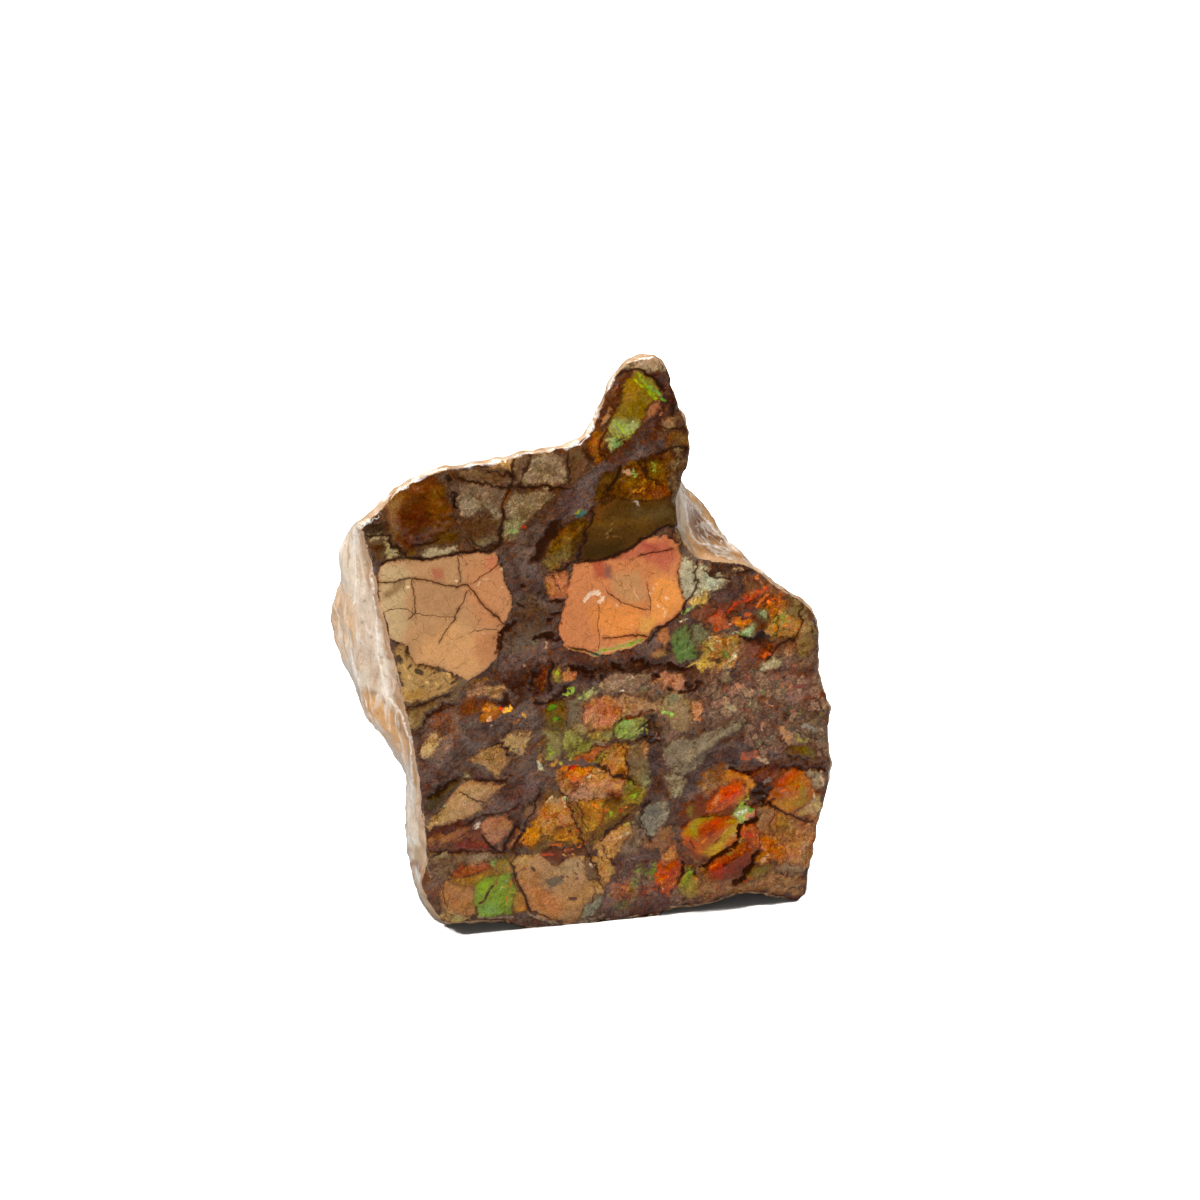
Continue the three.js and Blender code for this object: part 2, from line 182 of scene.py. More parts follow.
bpy.ops.object.select_all(action="DESELECT")
solid = frame["nodes"]["ammolite_stone"]
solid.select_set(True)
bpy.context.view_layer.objects.active = solid
bpy.ops.object.duplicate()
stone = bpy.context.active_object
stone.name = "polished_ammolite"
del stone["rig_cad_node"]

edit(stone)
bpy.ops.mesh.remove_doubles(threshold=WELD_GAP)
done_editing()

in_face = ground_face(stone.data)
rim_lines = border_of(stone.data, in_face)
stone.data.attributes.new("ground_face", "BOOLEAN", "FACE").data.foreach_set("value", in_face)

edit(stone)
bpy.ops.mesh.subdivide(number_cuts=BLANK_CUTS)
done_editing()
edit_part(True)
bpy.ops.mesh.subdivide(number_cuts=FACE_CUTS)
bpy.ops.mesh.select_all(action="SELECT")
bpy.ops.mesh.quads_convert_to_tris()
done_editing()

points = points_of(stone.data)
on_face = np.zeros(len(points), bool)
for polygon, mark in zip(stone.data.polygons, face_marks()):
    if mark.value:
        on_face[list(polygon.vertices)] = True
on_foot = np.abs(points[:, 2]) < 0.1 * FOOT_SLACK


# ---- Drawing sheet ------------------------------------------------------------------------------
# The mosaic is drawn on a square sheet, as an eye in front of the stone sees it. Each point of the
# face finds its place on the sheet, and a shape drawn there says how far inside it that place is.
# A drawing is a row of places on the sheet, right and down from its top left corner.

SHEET_SIDE = 1200
LENS = 100
SENSOR = 36
SHEET_FOCUS = SHEET_SIDE * LENS / SENSOR
EYE_DISTANCE = 375  # from the face's middle, in millimetres
EYE_AZIMUTH = math.radians(-16)
EYE_ELEVATION = math.radians(15)
SHEET_MM = EYE_DISTANCE / SHEET_FOCUS  # one sheet unit on the face, in millimetres
FAR = 60.0  # sheet units at which a shape is out of mind
PATCH_SOFT = 8  # how far a patch of close shell, rubble or glow fades to each side of its outline
LOBE_SHOULDER = 14  # a lobe rises from its outline to its top within this distance
CREVICE_EDGE = 1.5

eye_back = np.array([
    math.sin(EYE_AZIMUTH) * math.cos(EYE_ELEVATION),
    -math.cos(EYE_AZIMUTH) * math.cos(EYE_ELEVATION),
    math.sin(EYE_ELEVATION),
])
eye_right = np.array([math.cos(EYE_AZIMUTH), math.sin(EYE_AZIMUTH), 0])
eye_up = np.cross(eye_back, eye_right)
eye = FACE_POINT + eye_back * EYE_DISTANCE


def on_sheet(points):
    """Where the eye sees each point on the sheet."""
    ray = points - eye
    away = -(ray @ eye_back)
    right = SHEET_SIDE / 2 + SHEET_FOCUS * (ray @ eye_right) / away
    down = SHEET_SIDE / 2 - SHEET_FOCUS * (ray @ eye_up) / away
    return np.stack([right, down], axis=1)


def ripples(places, size, layer):
    """Smooth noise at places of the sheet or of space, about -0.5 to 0.5."""
    flat = np.zeros((len(places), 3))
    flat[:, : places.shape[1]] = places / size
    flat[:, 2] += layer
    return np.array([noise.noise(Vector(p)) for p in flat])


def step(low, high, value):
    """Zero below low, one above high, and smooth between."""
    share = np.clip((value - low) / (high - low), 0, 1)
    return share * share * (3 - 2 * share)


sheet = on_sheet(points)
RAGGED = 2.2  # how far broken edges stray from their drawn line, in sheet units
SMEARED = 3.5  # and how far they stray along the flow of the clay
STREAK = np.array([0.83, -0.56])  # the way the clay flowed
ACROSS = np.array([0.56, 0.83])
SHATTERED = 1.6  # how wild the edges of crushed shell are
WHOLE = 0.8  # the edges of pieces that held together
ON_WALLS = 0.4  # the edges of tints on the walls
CALM_EDGE = 16  # from whole to shattered within this distance
CALM = (  # whole pieces: middle and radius
    (445, 618, 72), (625, 602, 62), (555, 888, 30), (472, 800, 26), (490, 895, 24), (458, 898, 16),
    (495, 828, 14), (636, 404, 26), (712, 834, 22), (726, 803, 14), (728, 862, 16), (792, 790, 16),
)
spots = sheet.copy()
wild = np.full(len(sheet), SHATTERED)
for right, down, radius in CALM:
    off = np.hypot(sheet[:, 0] - right, sheet[:, 1] - down)
    wild = np.minimum(wild, WHOLE + (SHATTERED - WHOLE) * step(radius, radius + CALM_EDGE, off))
wild[~on_face] = ON_WALLS
for axis, layer in enumerate((3.7, 11.2)):
    stray = ripples(sheet, 12, layer) + 0.7 * ripples(sheet, 5, layer) + 0.4 * ripples(sheet, 2.4, layer)
    spots[:, axis] += RAGGED * wild * stray
flow = np.stack([sheet @ STREAK / 4, sheet @ ACROSS], axis=1)
spots += (SMEARED * (wild - 0.6) * ripples(flow, 4, 17.9))[:, None] * STREAK


def drawn(text):
    """The corners of a drawing."""
    return np.array([[float(v) for v in pair.split(",")] for pair in text.split()])


def near(outline, margin):
    """The points that may lie within a margin of a drawing."""
    low = outline.min(axis=0) - margin
    high = outline.max(axis=0) + margin
    return np.flatnonzero(((spots > low) & (spots < high)).all(axis=1))


def to_line(places, corners):
    """Distance to a run of corners, and on which side of it each place lies."""
    nearest = np.full(len(places), np.inf)
    side = np.ones(len(places))
    for start, end in zip(corners[:-1], corners[1:]):
        along = end - start
        off = places - start
        share = np.clip(off @ along / (along @ along), 0, 1)
        distance = np.linalg.norm(off - share[:, None] * along, axis=1)
        turn = np.sign(along[0] * off[:, 1] - along[1] * off[:, 0])
        side = np.where(distance < nearest, turn, side)
        nearest = np.minimum(nearest, distance)
    return nearest, side


def area(text):
    """How far inside a drawn outline each point lies, in sheet units: below zero outside."""
    corners = drawn(text)
    reach = np.full(len(spots), -FAR)
    nearby = near(corners, FAR / 2)
    places = spots[nearby]
    closed = np.vstack([corners, corners[:1]])
    distance, _ = to_line(places, closed)
    inside = np.zeros(len(places), bool)
    for (ax, ay), (bx, by) in zip(closed[:-1], closed[1:]):
        if ay != by:
            crosses = (ay > places[:, 1]) != (by > places[:, 1])
            inside ^= crosses & (places[:, 0] < ax + (bx - ax) * (places[:, 1] - ay) / (by - ay))
    reach[nearby] = np.where(inside, distance, -distance)
    return reach


def stroke(text, width):
    """How far inside a drawn line of a width each point lies."""
    corners = drawn(text)
    reach = np.full(len(spots), -FAR)
    nearby = near(corners, FAR / 2)
    reach[nearby] = width / 2 - to_line(spots[nearby], corners)[0]
    return reach


def inside(text, width):
    """How far inside a drawing each point lies: a line if it has a width, or else an outline."""
    return stroke(text, width) if width else area(text)


def dye(code):
    """A pigment as the shader mixes it."""
    shares = np.array([int(code[i:i + 2], 16) for i in (0, 2, 4)]) / 255
    return np.where(shares < 0.04045, shares / 12.92, ((shares + 0.055) / 1.055) ** 2.4)


count = len(points)
shell_ground = np.tile(dye("8a6244"), (count, 1))
shell_mottle = np.tile(dye("6a4630"), (count, 1))
shell_share = np.full(count, 0.3)
shell_reach = np.full(count, -FAR)
shell_number = np.zeros(count, int)
next_reach = np.full(count, -FAR)
next_number = np.zeros(count, int)
shell_growth = np.zeros(count)
shell_play = np.full(count, 0.3)
shell_fade = np.full(count, 0.06)
vein_ground = np.tile(dye("5d463a"), (count, 1))
vein_mottle = np.tile(dye("412c22"), (count, 1))
vein_share = np.full(count, 0.4)
vein_warmth = np.full(count, 0.5)
fleck_tint = np.tile(dye("8a6244"), (count, 1))
fleck_reach = np.full(count, -FAR)
crack_reach = np.full(count, FAR)
crack_width = np.zeros(count)
glint_reach = np.full(count, FAR)
glint_width = np.zeros(count)
hollow_depth = np.zeros(count)
rubble_share = np.zeros(count)
rock_tint = np.tile(dye("c4aa8c"), (count, 1))
rock_shown = np.zeros(count)
leaning = np.array([vertex.normal for vertex in stone.data.vertices]) @ eye_back
side_seen = np.where(on_face, 0, step(0, 0.25, leaning))
lobe_height = np.zeros(count)
numbers = itertools.count(1)


def shard(ground, mottle, share, outline, play=0.6, fade=0.26):
    """A piece of shell in two colours. Between two pieces, a point takes those of the one it is nearest to.

    Share is how much of it the second colour takes, play how far the colours swing, and fade how softly
    the edge sinks into the vein, in millimetres.
    """
    reach = area(outline)
    number = next(numbers)
    won = reach > shell_reach
    second = ~won & (reach > next_reach)
    next_reach[second] = reach[second]
    next_number[second] = number
    next_reach[won] = shell_reach[won]
    next_number[won] = shell_number[won]
    shell_reach[won] = reach[won]
    shell_number[won] = number
    shell_ground[won] = dye(ground)
    shell_mottle[won] = dye(mottle)
    shell_share[won] = share
    shell_play[won] = play
    shell_fade[won] = fade


def packed(outline, growth):
    """Shell that lies close: its pieces grow by so much, and meet in thin seams."""
    grown = growth * step(-PATCH_SOFT, PATCH_SOFT, area(outline))
    shell_growth[:] = np.maximum(shell_growth, grown)


def stain_and_shade(colour, drawing, soft, strength, width=None):
    """A soft patch of another colour in the shell: mostly the shell's own colour, and along the lobes'
    lower edges painted shade.
    """
    weight = (strength * step(-soft, soft, inside(drawing, width)))[:, None]
    shell_ground[:] += weight * (dye(colour) - shell_ground)
    shell_mottle[:] += 0.6 * weight * (dye(colour) - shell_mottle)


def bed(ground, mottle, share, drawing, soft, width=None):
    """A soft patch of two other colours in the vein between the shell."""
    weight = step(-soft, soft, inside(drawing, width))
    vein_ground[:] += weight[:, None] * (dye(ground) - vein_ground)
    vein_mottle[:] += weight[:, None] * (dye(mottle) - vein_mottle)
    vein_share[:] += weight * (share - vein_share)


def glow(warmth, outline, soft=PATCH_SOFT):
    """Vein that lets amber shine through, more or less."""
    vein_warmth[:] += step(-soft, soft, area(outline)) * (warmth - vein_warmth)


def fleck(colour, drawing, width=None):
    """A crisp streak or patch on the shell or the vein."""
    reach = inside(drawing, width)
    won = reach > fleck_reach
    fleck_reach[won] = reach[won]
    fleck_tint[won] = dye(colour)


def draw_line(text, width, reach, widths, end=4):
    """Keeps each point's distance to a line, with a sign, so that it stays sharp between the points."""
    corners = drawn(text)
    nearby = near(corners, end + 8)
    distance, side = to_line(spots[nearby], corners)
    won = distance < np.abs(reach[nearby])
    reach[nearby[won]] = (distance * side)[won]
    widths[nearby[won]] = np.where(distance[won] < end, width, 0)


def crack(text, width):
    """A dark hair line."""
    draw_line(text, width, crack_reach, crack_width)


def glint(text, width):
    """A painted highlight: a white line where a ridge or rim mirrors a lamp."""
    draw_line(text, width, glint_reach, glint_width, 9)


def sink(reach, depth, soft):
    """A hollow is deeper towards its middle, and painted shade darkens it there."""
    hollow_depth[:] = np.maximum(hollow_depth, depth * step(-soft, soft, reach))


def hollow(outline, depth, soft):
    """A pit."""
    sink(area(outline), depth, soft)


def rift(text, width, depth):
    """A crevice: a line that swells and thins along its way and closes at both ends."""
    corners = drawn(text)
    reach = np.full(len(spots), -FAR)
    nearby = near(corners, FAR / 2)
    places = spots[nearby]
    lengths = np.linalg.norm(np.diff(corners, axis=0), axis=1)
    passed = np.concatenate([[0], np.cumsum(lengths)])
    best = np.full(len(places), -FAR)
    for start, end, begun, length in zip(corners[:-1], corners[1:], passed, lengths):
        along = end - start
        off = places - start
        share = np.clip(off @ along / (along @ along), 0, 1)
        distance = np.linalg.norm(off - share[:, None] * along, axis=1)
        way = (begun + share * length) / passed[-1]
        half = width / 2 * (0.1 + 0.5 * np.sin(np.pi * way) ** 0.6)
        best = np.maximum(best, half - distance)
    best += 0.4 * width * ripples(sheet[nearby], 5, 21.3) + 0.3 * width * ripples(sheet[nearby], 2, 9.3)
    reach[nearby] = best
    sink(reach, depth, CREVICE_EDGE)


def wash(colour, drawing, soft, strength=1.0, width=None):
    """A soft patch of colour on the part of the rough sides that the eye can see."""
    weight = strength * step(-soft, soft, inside(drawing, width)) * side_seen
    rock_tint[:] += weight[:, None] * (dye(colour) - rock_tint)
    rock_shown[:] = np.maximum(rock_shown, weight)


def rubble(outline, share):
    """Vein that is full of small bits of shell."""
    strewn = share * step(-PATCH_SOFT, PATCH_SOFT, area(outline))
    rubble_share[:] = np.maximum(rubble_share, strewn)


def lobe(height, outline):
    """A lump of shell that stands out of the face, in millimetres."""
    rise = np.sin(np.pi / 2 * np.clip(area(outline) / LOBE_SHOULDER, 0, 1))
    lobe_height[:] = np.maximum(lobe_height, height * rise)


# ---- Honey and peach shards ---------------------------------------------------------------------
# The two largest pieces of shell lie left and right of the main vein. The left one fades from cream
# to orange, the right one burns orange and red along its top. Hair cracks cross both.

shard("b48455", "a87247", 0.35,
    "380,566 390,561 400,560 420,561 430,560 440,557 457,554 480,553 497,553 499,565 503,575 506,585"
    " 511,595 513,605 509,613 503,625 500,630 499,645 495,658 488,668 478,675 468,680 458,676 445,670"
    " 430,666 416,664 411,655 408,645 396,642 390,638 388,630 384,615 380,605 378,590 377,575", 0.08, 0.05)
stain_and_shade("c0a070", "376,566 402,564 412,576 404,600 408,622 400,646 386,634 380,605", 7, 0.9)
stain_and_shade("c07a48", "462,556 500,554 516,604 500,634 478,630 466,600", 12, 0.7)
stain_and_shade("cb9258", "420,640 450,622 482,634 484,664 466,680 440,668 418,662", 9, 0.8)
stain_and_shade("b76d3c", "474,634 498,632 494,660 482,668 474,655", 5, 0.6)
stain_and_shade("c4663f", "484,556 498,556 499,570 488,570", 4, 0.6)
stain_and_shade("8a6238", "386,595 394,590 402,584", 3, 0.8, width=6)
stain_and_shade("a8583a", "431,568 443,568 444,579 433,580", 3, 0.8)
stain_and_shade("a9774c", "416,582 462,590 456,618 420,612", 8, 0.5)
crack(
    "378,582 395,583 410,578 425,580 440,584 455,587 468,585 473,590 480,600 490,610 498,618 505,626", 1.3)
crack("458,553 459,565 460,580", 0.9)
crack("498,566 485,575 475,582", 0.9)
crack("412,580 415,595 416,612 410,618", 0.9)
crack("468,592 460,607 452,622 445,632 440,642", 0.9)
crack("385,612 400,608 425,616 455,617", 0.6)
crack("472,632 485,629 497,630", 0.6)
for text in (
        "479,584 481,582", "486,580 489,580", "499,570 501,570", "502,587 504,587", "483,633 486,633",
        "406,587 410,587", "409,613 412,613", "455,581 458,581"):
    fleck("dcbb92", text, 1.6)

shard("c87842", "b4602f", 0.35,
    "575,562 600,560 617,555 635,547 648,538 665,535 678,545 680,560 678,575 680,585 684,598 688,603"
    " 680,613 675,618 665,623 655,626 650,632 645,640 635,645 620,650 610,654 600,657 590,656 580,653"
    " 570,650 563,645 558,640 560,628 563,612 567,597 570,580 574,565", 0.12, 0.05)
stain_and_shade("de8436", "600,600 640,606 650,628 620,640 596,630 590,612", 9, 1.0)
stain_and_shade("e28c3c", "655,575 680,580 688,602 668,620 652,622 650,596", 6, 1.0)
stain_and_shade("bc8450", "610,574 640,572 650,600 630,604 614,594", 5, 0.9)
stain_and_shade("ae4a2b", "591,562 604,560 606,577 596,578", 3, 0.9)
stain_and_shade("7d4a44", "605,564 612,565 612,578 605,576", 2.5, 0.8)
stain_and_shade("b5523a", "612,556 640,546 668,536 676,552 668,572 640,556 618,560", 5, 0.75)
stain_and_shade("a84634", "643,545 656,548", 3, 0.8, width=7)
stain_and_shade("d7983f", "640,618 656,616 652,634 640,636", 4, 0.7)
stain_and_shade("c9b066", "598,652 616,648 636,641", 2, 0.7, width=5)
fleck("8c9a38", "600,651 616,647 634,642 641,639", 2.6)
fleck("8fae7c", "588,653 600,655", 3)
fleck("a58c2a", "571,649 584,651", 2)
fleck("ecc9a6", "584,600 590,594 597,592", 4)
fleck("ecc9a6", "598,601 603,597", 4)
fleck("e2b58a", "616,605 618,606", 3)
fleck("e2b58a", "633,588 640,600", 1.2)
fleck("e2b58a", "657,607 664,608 666,616", 1.8)
fleck("e2b58a", "667,596 669,600", 2.4)
fleck("e2b58a", "650,594 657,583", 1.5)
fleck("e2b58a", "631,625 632,626", 2.2)
crack("572,648 585,651 598,655", 2)
crack("598,605 598,628 598,650", 0.6)
crack("605,638 620,636 634,635 647,636", 1.2)
crack("640,556 660,552 672,550", 1.2)
crack("607,590 615,598 625,603 635,607 648,610", 0.8)
crack("649,585 650,600 651,612", 0.6)


# ---- Shards of the top --------------------------------------------------------------------------
# Above the two large pieces the shell is thin and lies deep under the lacquer: rust, grey and dark
# olive, with brown earth between.

bed("6a4a32", "3b2517", 0.5,
    "365,545 380,505 430,470 510,455 590,440 600,480 560,500 510,545 440,556 385,562", 6)
shard("662a07", "421604", 0.5,
    "382,505 395,490 412,480 430,474 438,478 445,490 452,515 455,525 440,535 425,540 415,548 410,556"
    " 405,556 400,548 393,540 388,530 384,520")
stain_and_shade("8a5c38", "382,505 398,488 402,500 396,540 388,532", 6, 0.8)
stain_and_shade("7a4204", "432,480 444,490 452,524 436,536 428,510", 6, 0.8)
stain_and_shade("3c0f04", "421,520 417,540", 5, 0.8, width=6)
stain_and_shade("8f5230", "404,490 420,484", 4, 0.6, width=5)
fleck("1d1008", "453,495 454,503 455,510", 5)
fleck("2a190d", "447,477 450,480", 5)
shard("3d281a", "2b1a10", 0.5, "363,527 368,520 380,520 386,533 366,535")
shard("a38c68", "8f7452", 0.4, "367,536 386,535 386,541 369,541")
shard("5c331c", "44240f", 0.5, "367,542 384,542 382,562 373,562")
shard("98835d", "84663e", 0.4, "386,540 392,546 405,551 405,559 384,558")
shard("765016", "5a3810", 0.4, "403,548 412,544 414,553 408,559 403,556")
shard("a6916d", "8d7450", 0.35, "421,558 421,550 428,546 445,548 455,545 458,550 448,555 434,558")
shard("6c4410", "4c2c0c", 0.5, "414,546 440,536 456,530 458,543 436,545 424,546")
shard("74482a", "4e2e1a", 0.55, "458,525 480,517 500,520 498,535 480,538 460,536")
shard("826a4c", "5e4630", 0.5, "470,541 498,535 500,541 478,549")
shard("725642", "8e7256", 0.4,
    "458,485 470,483 503,486 507,490 502,505 500,518 493,518 485,511 475,514 465,518 458,510")
stain_and_shade("8c7c62", "462,496 474,492 476,512 466,517", 5, 0.6)
stain_and_shade("9c8c70", "486,510 496,517", 3, 0.7, width=4)
shard("74533a", "5c3d28", 0.5, "456,470 470,468 484,471 513,476 512,485 490,484 470,480 458,479")
shard("a1754a", "8c5c34", 0.4, "482,465 512,457 512,473 500,472 484,469")
shard("8e7056", "7a5e46", 0.3,
    "530,458 540,452 552,453 563,457 567,465 566,478 558,485 522,485 524,477 529,468")
stain_and_shade("94795a", "530,462 550,460 548,478 528,480", 7, 0.5)
shard("6e5340", "5a3c2a", 0.5, "514,457 526,453 526,466 520,484 514,483")
shard("80603e", "5f3c26", 0.55, "568,450 584,446 588,468 576,482 568,484 570,464")
shard("806448", "988062", 0.4,
    "512,495 520,492 545,493 553,495 545,505 538,515 528,522 522,528 516,535 510,541 503,541 502,530"
    " 506,515 508,505")
stain_and_shade("9a9064", "503,520 516,516 524,522 512,540 503,538", 4, 0.7)
fleck("7f9a50", "512,534 515,530", 2.6)
fleck("a84326", "523,527 527,525", 3)
fleck("a4591c", "504,507 508,492", 3.4)
stain_and_shade("7c4c1e", "515,488 560,487", 3, 0.8, width=4)
crack("466,468 480,466 488,462", 1.6)
crack("484,470 500,474 512,475", 1.2)
crack("460,480 480,483 500,486 512,486", 1.6)
crack("513,456 512,470 511,485 506,497 503,515 501,530 500,545", 2.2)
crack("528,454 530,462 526,474 523,484", 1.2)
crack("512,487 540,488 570,488", 1.8)
crack("568,452 570,466 569,480", 1.2)
crack("366,536 386,534", 1.8)
# Painted highlights: white glints on the rounded rim at the top left.
for text in (
        "359,527 362,524 369,521", "384,499 387,498", "401,488 405,484", "413,479 417,476",
        "420,474 426,472 433,470"):
    glint(text, 4)
crack("383,564 390,560 400,557 428,560 440,557 455,554 475,552 495,550 500,545", 2.6)
crack("386,534 392,545 400,549 405,556", 2.6)
crack("412,547 424,543 440,540", 1.4)
crack("473,541 480,547 497,547", 1.4)

shard("50320d", "3c240a", 0.4,
    "598,505 610,498 625,500 640,503 660,500 675,505 680,515 672,525 660,530 645,538 635,547 620,555"
    " 605,560 580,561 582,550 586,535 590,520 592,510", 0.25)
stain_and_shade("6e3e0c", "592,508 606,499 616,500 600,520 590,530", 6, 0.7)
stain_and_shade("64502c", "636,514 676,514", 6, 0.6, width=8)
stain_and_shade("2f2109", "585,545 625,540 620,556 584,560", 6, 0.7)
fleck("7d6136", "613,514 607,538", 1.1)
fleck("6e4c28", "592,534 606,535 622,538", 1.1)
shard("5a2a08", "704010", 0.5,
    "622,478 622,468 640,462 655,455 668,465 675,478 672,490 670,500 650,500 630,498 612,497 606,492"
    " 614,484")
stain_and_shade("80641c", "646,462 654,458 662,466 664,478 652,474", 4, 0.7)
stain_and_shade("8c3c10", "640,476 664,480 670,496 650,500 640,490", 4, 0.6)
stain_and_shade("8c6418", "626,482 636,485 654,480", 3, 0.8, width=4)
stain_and_shade("6c1f05", "640,486 670,488 668,500 644,498", 4, 0.7)
fleck("88984a", "632,470 634,476", 3)
bed("5a3212", "34180a", 0.5, "592,482 612,470 640,456 690,448 690,500 640,504 600,506 586,500", 4)
glow(1.0, "592,482 612,470 640,456 690,448 690,500 640,504 600,506 586,500", 5)
packed("592,482 612,470 640,458 684,450 684,500 640,506 600,506", 3)
shard("66400e", "48280a", 0.5, "596,486 606,474 620,466 616,482 606,492 596,500")
shard("5e2c0a", "3c1a06", 0.5, "640,462 654,454 662,456 656,464 646,468")
shard("6c360e", "4c2008", 0.5, "676,462 686,460 684,480 674,484 670,474")
shard("5c3414", "3e200c", 0.5, "604,500 616,494 612,506 600,508")
fleck("c08a2c", "644,478 654,484 664,486", 1.4)
fleck("9aa43c", "652,462 656,470", 2)
fleck("b07018", "634,490 644,492", 2)
stain_and_shade("7a5420", "600,524 650,520", 6, 0.4, width=8)
fleck("b98a63", "624,470 628,474", 3.4)
fleck("a5927c", "634,500 637,507", 3)
shard("70450a", "54300a", 0.4, "596,492 600,480 608,474 618,469 614,480 606,491")
shard("5c442e", "7a5e42", 0.5, "670,440 684,436 686,462 678,500 682,530 692,546 680,546 672,520 668,490")
crack("640,465 650,478 660,486", 1.5)
crack("620,466 616,478 608,490", 4.5)
crack("576,563 590,561 603,560 618,555 632,548 641,540 652,534 665,527 680,521", 2.6)
crack("576,562 580,553 588,530 592,510", 1.8)
hollow("530,562 535,548 545,531 559,516 561,530 550,546 541,560", 0.8, 3)

shard("50300c", "744618", 0.45,
    "560,525 575,518 588,520 585,535 578,553 572,560 560,563 555,572 545,568 540,562 548,550 555,543"
    " 550,535")
stain_and_shade("7c6236", "541,562 556,552 574,550 570,562 556,570 546,569", 4, 0.8)
stain_and_shade("8a3a0c", "560,532 572,526 576,536 566,542", 4, 0.7)
stain_and_shade("64501c", "574,530 570,545", 3, 0.6, width=5)
stain_and_shade("3c220a", "556,552 568,538 574,524", 3, 0.8, width=4)
stain_and_shade("a07028", "562,548 572,538", 2, 0.7, width=3)
fleck("3a5c50", "578,515 585,515", 4)
fleck("7f7a28", "578,512 582,511", 2.4)
shard("b76e4b", "945338", 0.5, "545,578 553,572 560,568 570,570 568,585 566,597 558,600 550,603 546,590")
stain_and_shade("cd7c4c", "553,576 566,578 564,592 556,592", 3, 0.7)
stain_and_shade("a5611c", "560,564 574,562 570,572 560,570", 3, 0.8)
crack("555,568 562,571 575,561", 1.4)
crack("543,572 553,578 560,590", 0.9)


# ---- Horn ---------------------------------------------------------------------------------------
# The horn on the top edge holds one long green shard with fine growth lines, in an orange-brown
# setting, under a cap of bare beige rock.

bed("6a3d22", "3e2012", 0.5, "590,432 604,398 618,372 670,370 690,440 650,440 600,462 588,455", 5)
bed("54392e", "3a231b", 0.4, "650,376 670,372 680,405 684,418 662,416 650,440 630,448 645,420", 5)
shard("806010", "6a4a08", 0.3,
    "637,371 645,373 655,380 662,392 660,398 655,402 648,408 645,415 640,425 633,433 627,440 618,437"
    " 608,430 612,420 617,410 620,400 622,390 626,381 632,375")
stain_and_shade("a06c14", "622,392 632,378 640,388 636,402 622,404", 4, 0.6)
stain_and_shade("8b7f2a", "640,376 652,386 662,394", 4, 0.8, width=8)
stain_and_shade("9aa05c", "612,420 636,420 640,426 628,438 610,430", 4, 0.8)
fleck("88a812", "638,374 646,383 656,399", 2.2)
fleck("9cb428", "634,379 644,388 654,398", 1.3)
fleck("76a047", "650,386 660,395", 2.6)
fleck("5f9638", "662,398 666,401", 2.4)
fleck("95ad24", "615,421 622,430 630,437", 2)
fleck("87a02c", "622,422 628,430 634,432", 1.4)
fleck("b9b877", "632,421 637,427", 2)
fleck("9c9a3e", "609,431 618,437", 1.4)
shard("9a7c60", "84664a", 0.4, "610,372 622,362 640,353 655,352 666,360 668,371 650,371 637,370 620,370")
shard("86a25c", "c09a6a", 0.4, "608,436 614,436 622,440 618,446 610,452 608,447")
stain_and_shade("c8965f", "608,437 610,451", 2, 0.9, width=3)
shard("8a4c1e", "6e3414", 0.4, "592,430 600,428 606,433 605,445 603,455 597,462 592,458 590,447")
stain_and_shade("a44a12", "593,432 591,446 593,458", 3, 0.8, width=4)
shard("a06040", "7c4026", 0.4, "650,405 660,402 662,407 655,412 648,420 643,424")
fleck("c9774a", "661,414 662,412", 2.4)
shard("9a7450", "80583a", 0.5, "663,420 675,418 680,422 676,428 668,432 662,428")
shard("80400e", "5c2a0c", 0.5, "665,434 676,430 688,434 688,448 672,448 664,444")
stain_and_shade("a6834e", "680,430 686,440", 3, 0.8, width=5)
shard("6c3008", "8a4412", 0.4, "662,452 676,449 687,450 684,462 674,466 664,460")
crack("663,428 674,430 684,428", 1.2)
crack("660,451 675,448 688,449", 1.8)
crack("614,378 624,372 640,369 652,376 662,388", 1.8)
crack("606,432 600,448 603,456", 1.4)
crack("672,406 674,414", 4)
fleck("9b5a36", "612,390 616,386", 3)
# Painted highlights on the horn's left edge.
for text in ("613,376 609,386", "597,408 594,416", "592,424 590,428", "588,430 585,436"):
    glint(text, 3)
fleck("a06a3c", "604,418 610,408", 3.4)
fleck("8e6a48", "603,424 608,416", 4)


# ---- Right shoulder -----------------------------------------------------------------------------
# Right of the peach shard: pale grey-green shell, a red seam, one smooth teal-green piece and a
# speckled yellow-green one.

bed("6a5040", "8b6a50", 0.45, "690,545 745,556 815,604 820,670 700,670 660,650 680,600", 6)
bed("604a42", "4c342b", 0.35, "757,578 720,602 690,615 660,645", 5, width=24)
bed("4a3022", "7a5a3c", 0.4, "700,550 755,556 760,572 730,578 712,574", 3)
for text in ("716,556 730,560 746,558", "726,568 740,564 752,566", "708,560 718,566", "738,574 750,570"):
    fleck("2c180e", text, 2.4)
for text in ("722,562 734,564", "744,560 754,564", "732,572 742,569"):
    fleck("a08260", text, 1.6)
rubble("760,590 815,610 820,670 770,668 740,664", 0.5)
glow(1.0, "700,600 770,572 800,600 815,640 790,665 750,664 740,640 700,640")
packed("700,604 740,590 770,572 800,596 818,626 812,664 750,668 700,668 694,640", 3)
shard("8a4c38", "5e342a", 0.5, "690,612 704,606 712,612 700,620 690,620")
shard("7a4030", "543028", 0.5, "728,606 744,596 752,602 740,612 730,614")
shard("74483a", "6e2c14", 0.5, "746,602 762,594 772,598 764,606 750,610")
shard("8c5a30", "a0441c", 0.5, "764,602 778,596 784,606 772,616 764,612")
shard("7c6c3c", "a06830", 0.5, "768,618 778,612 782,628 772,636 764,628")
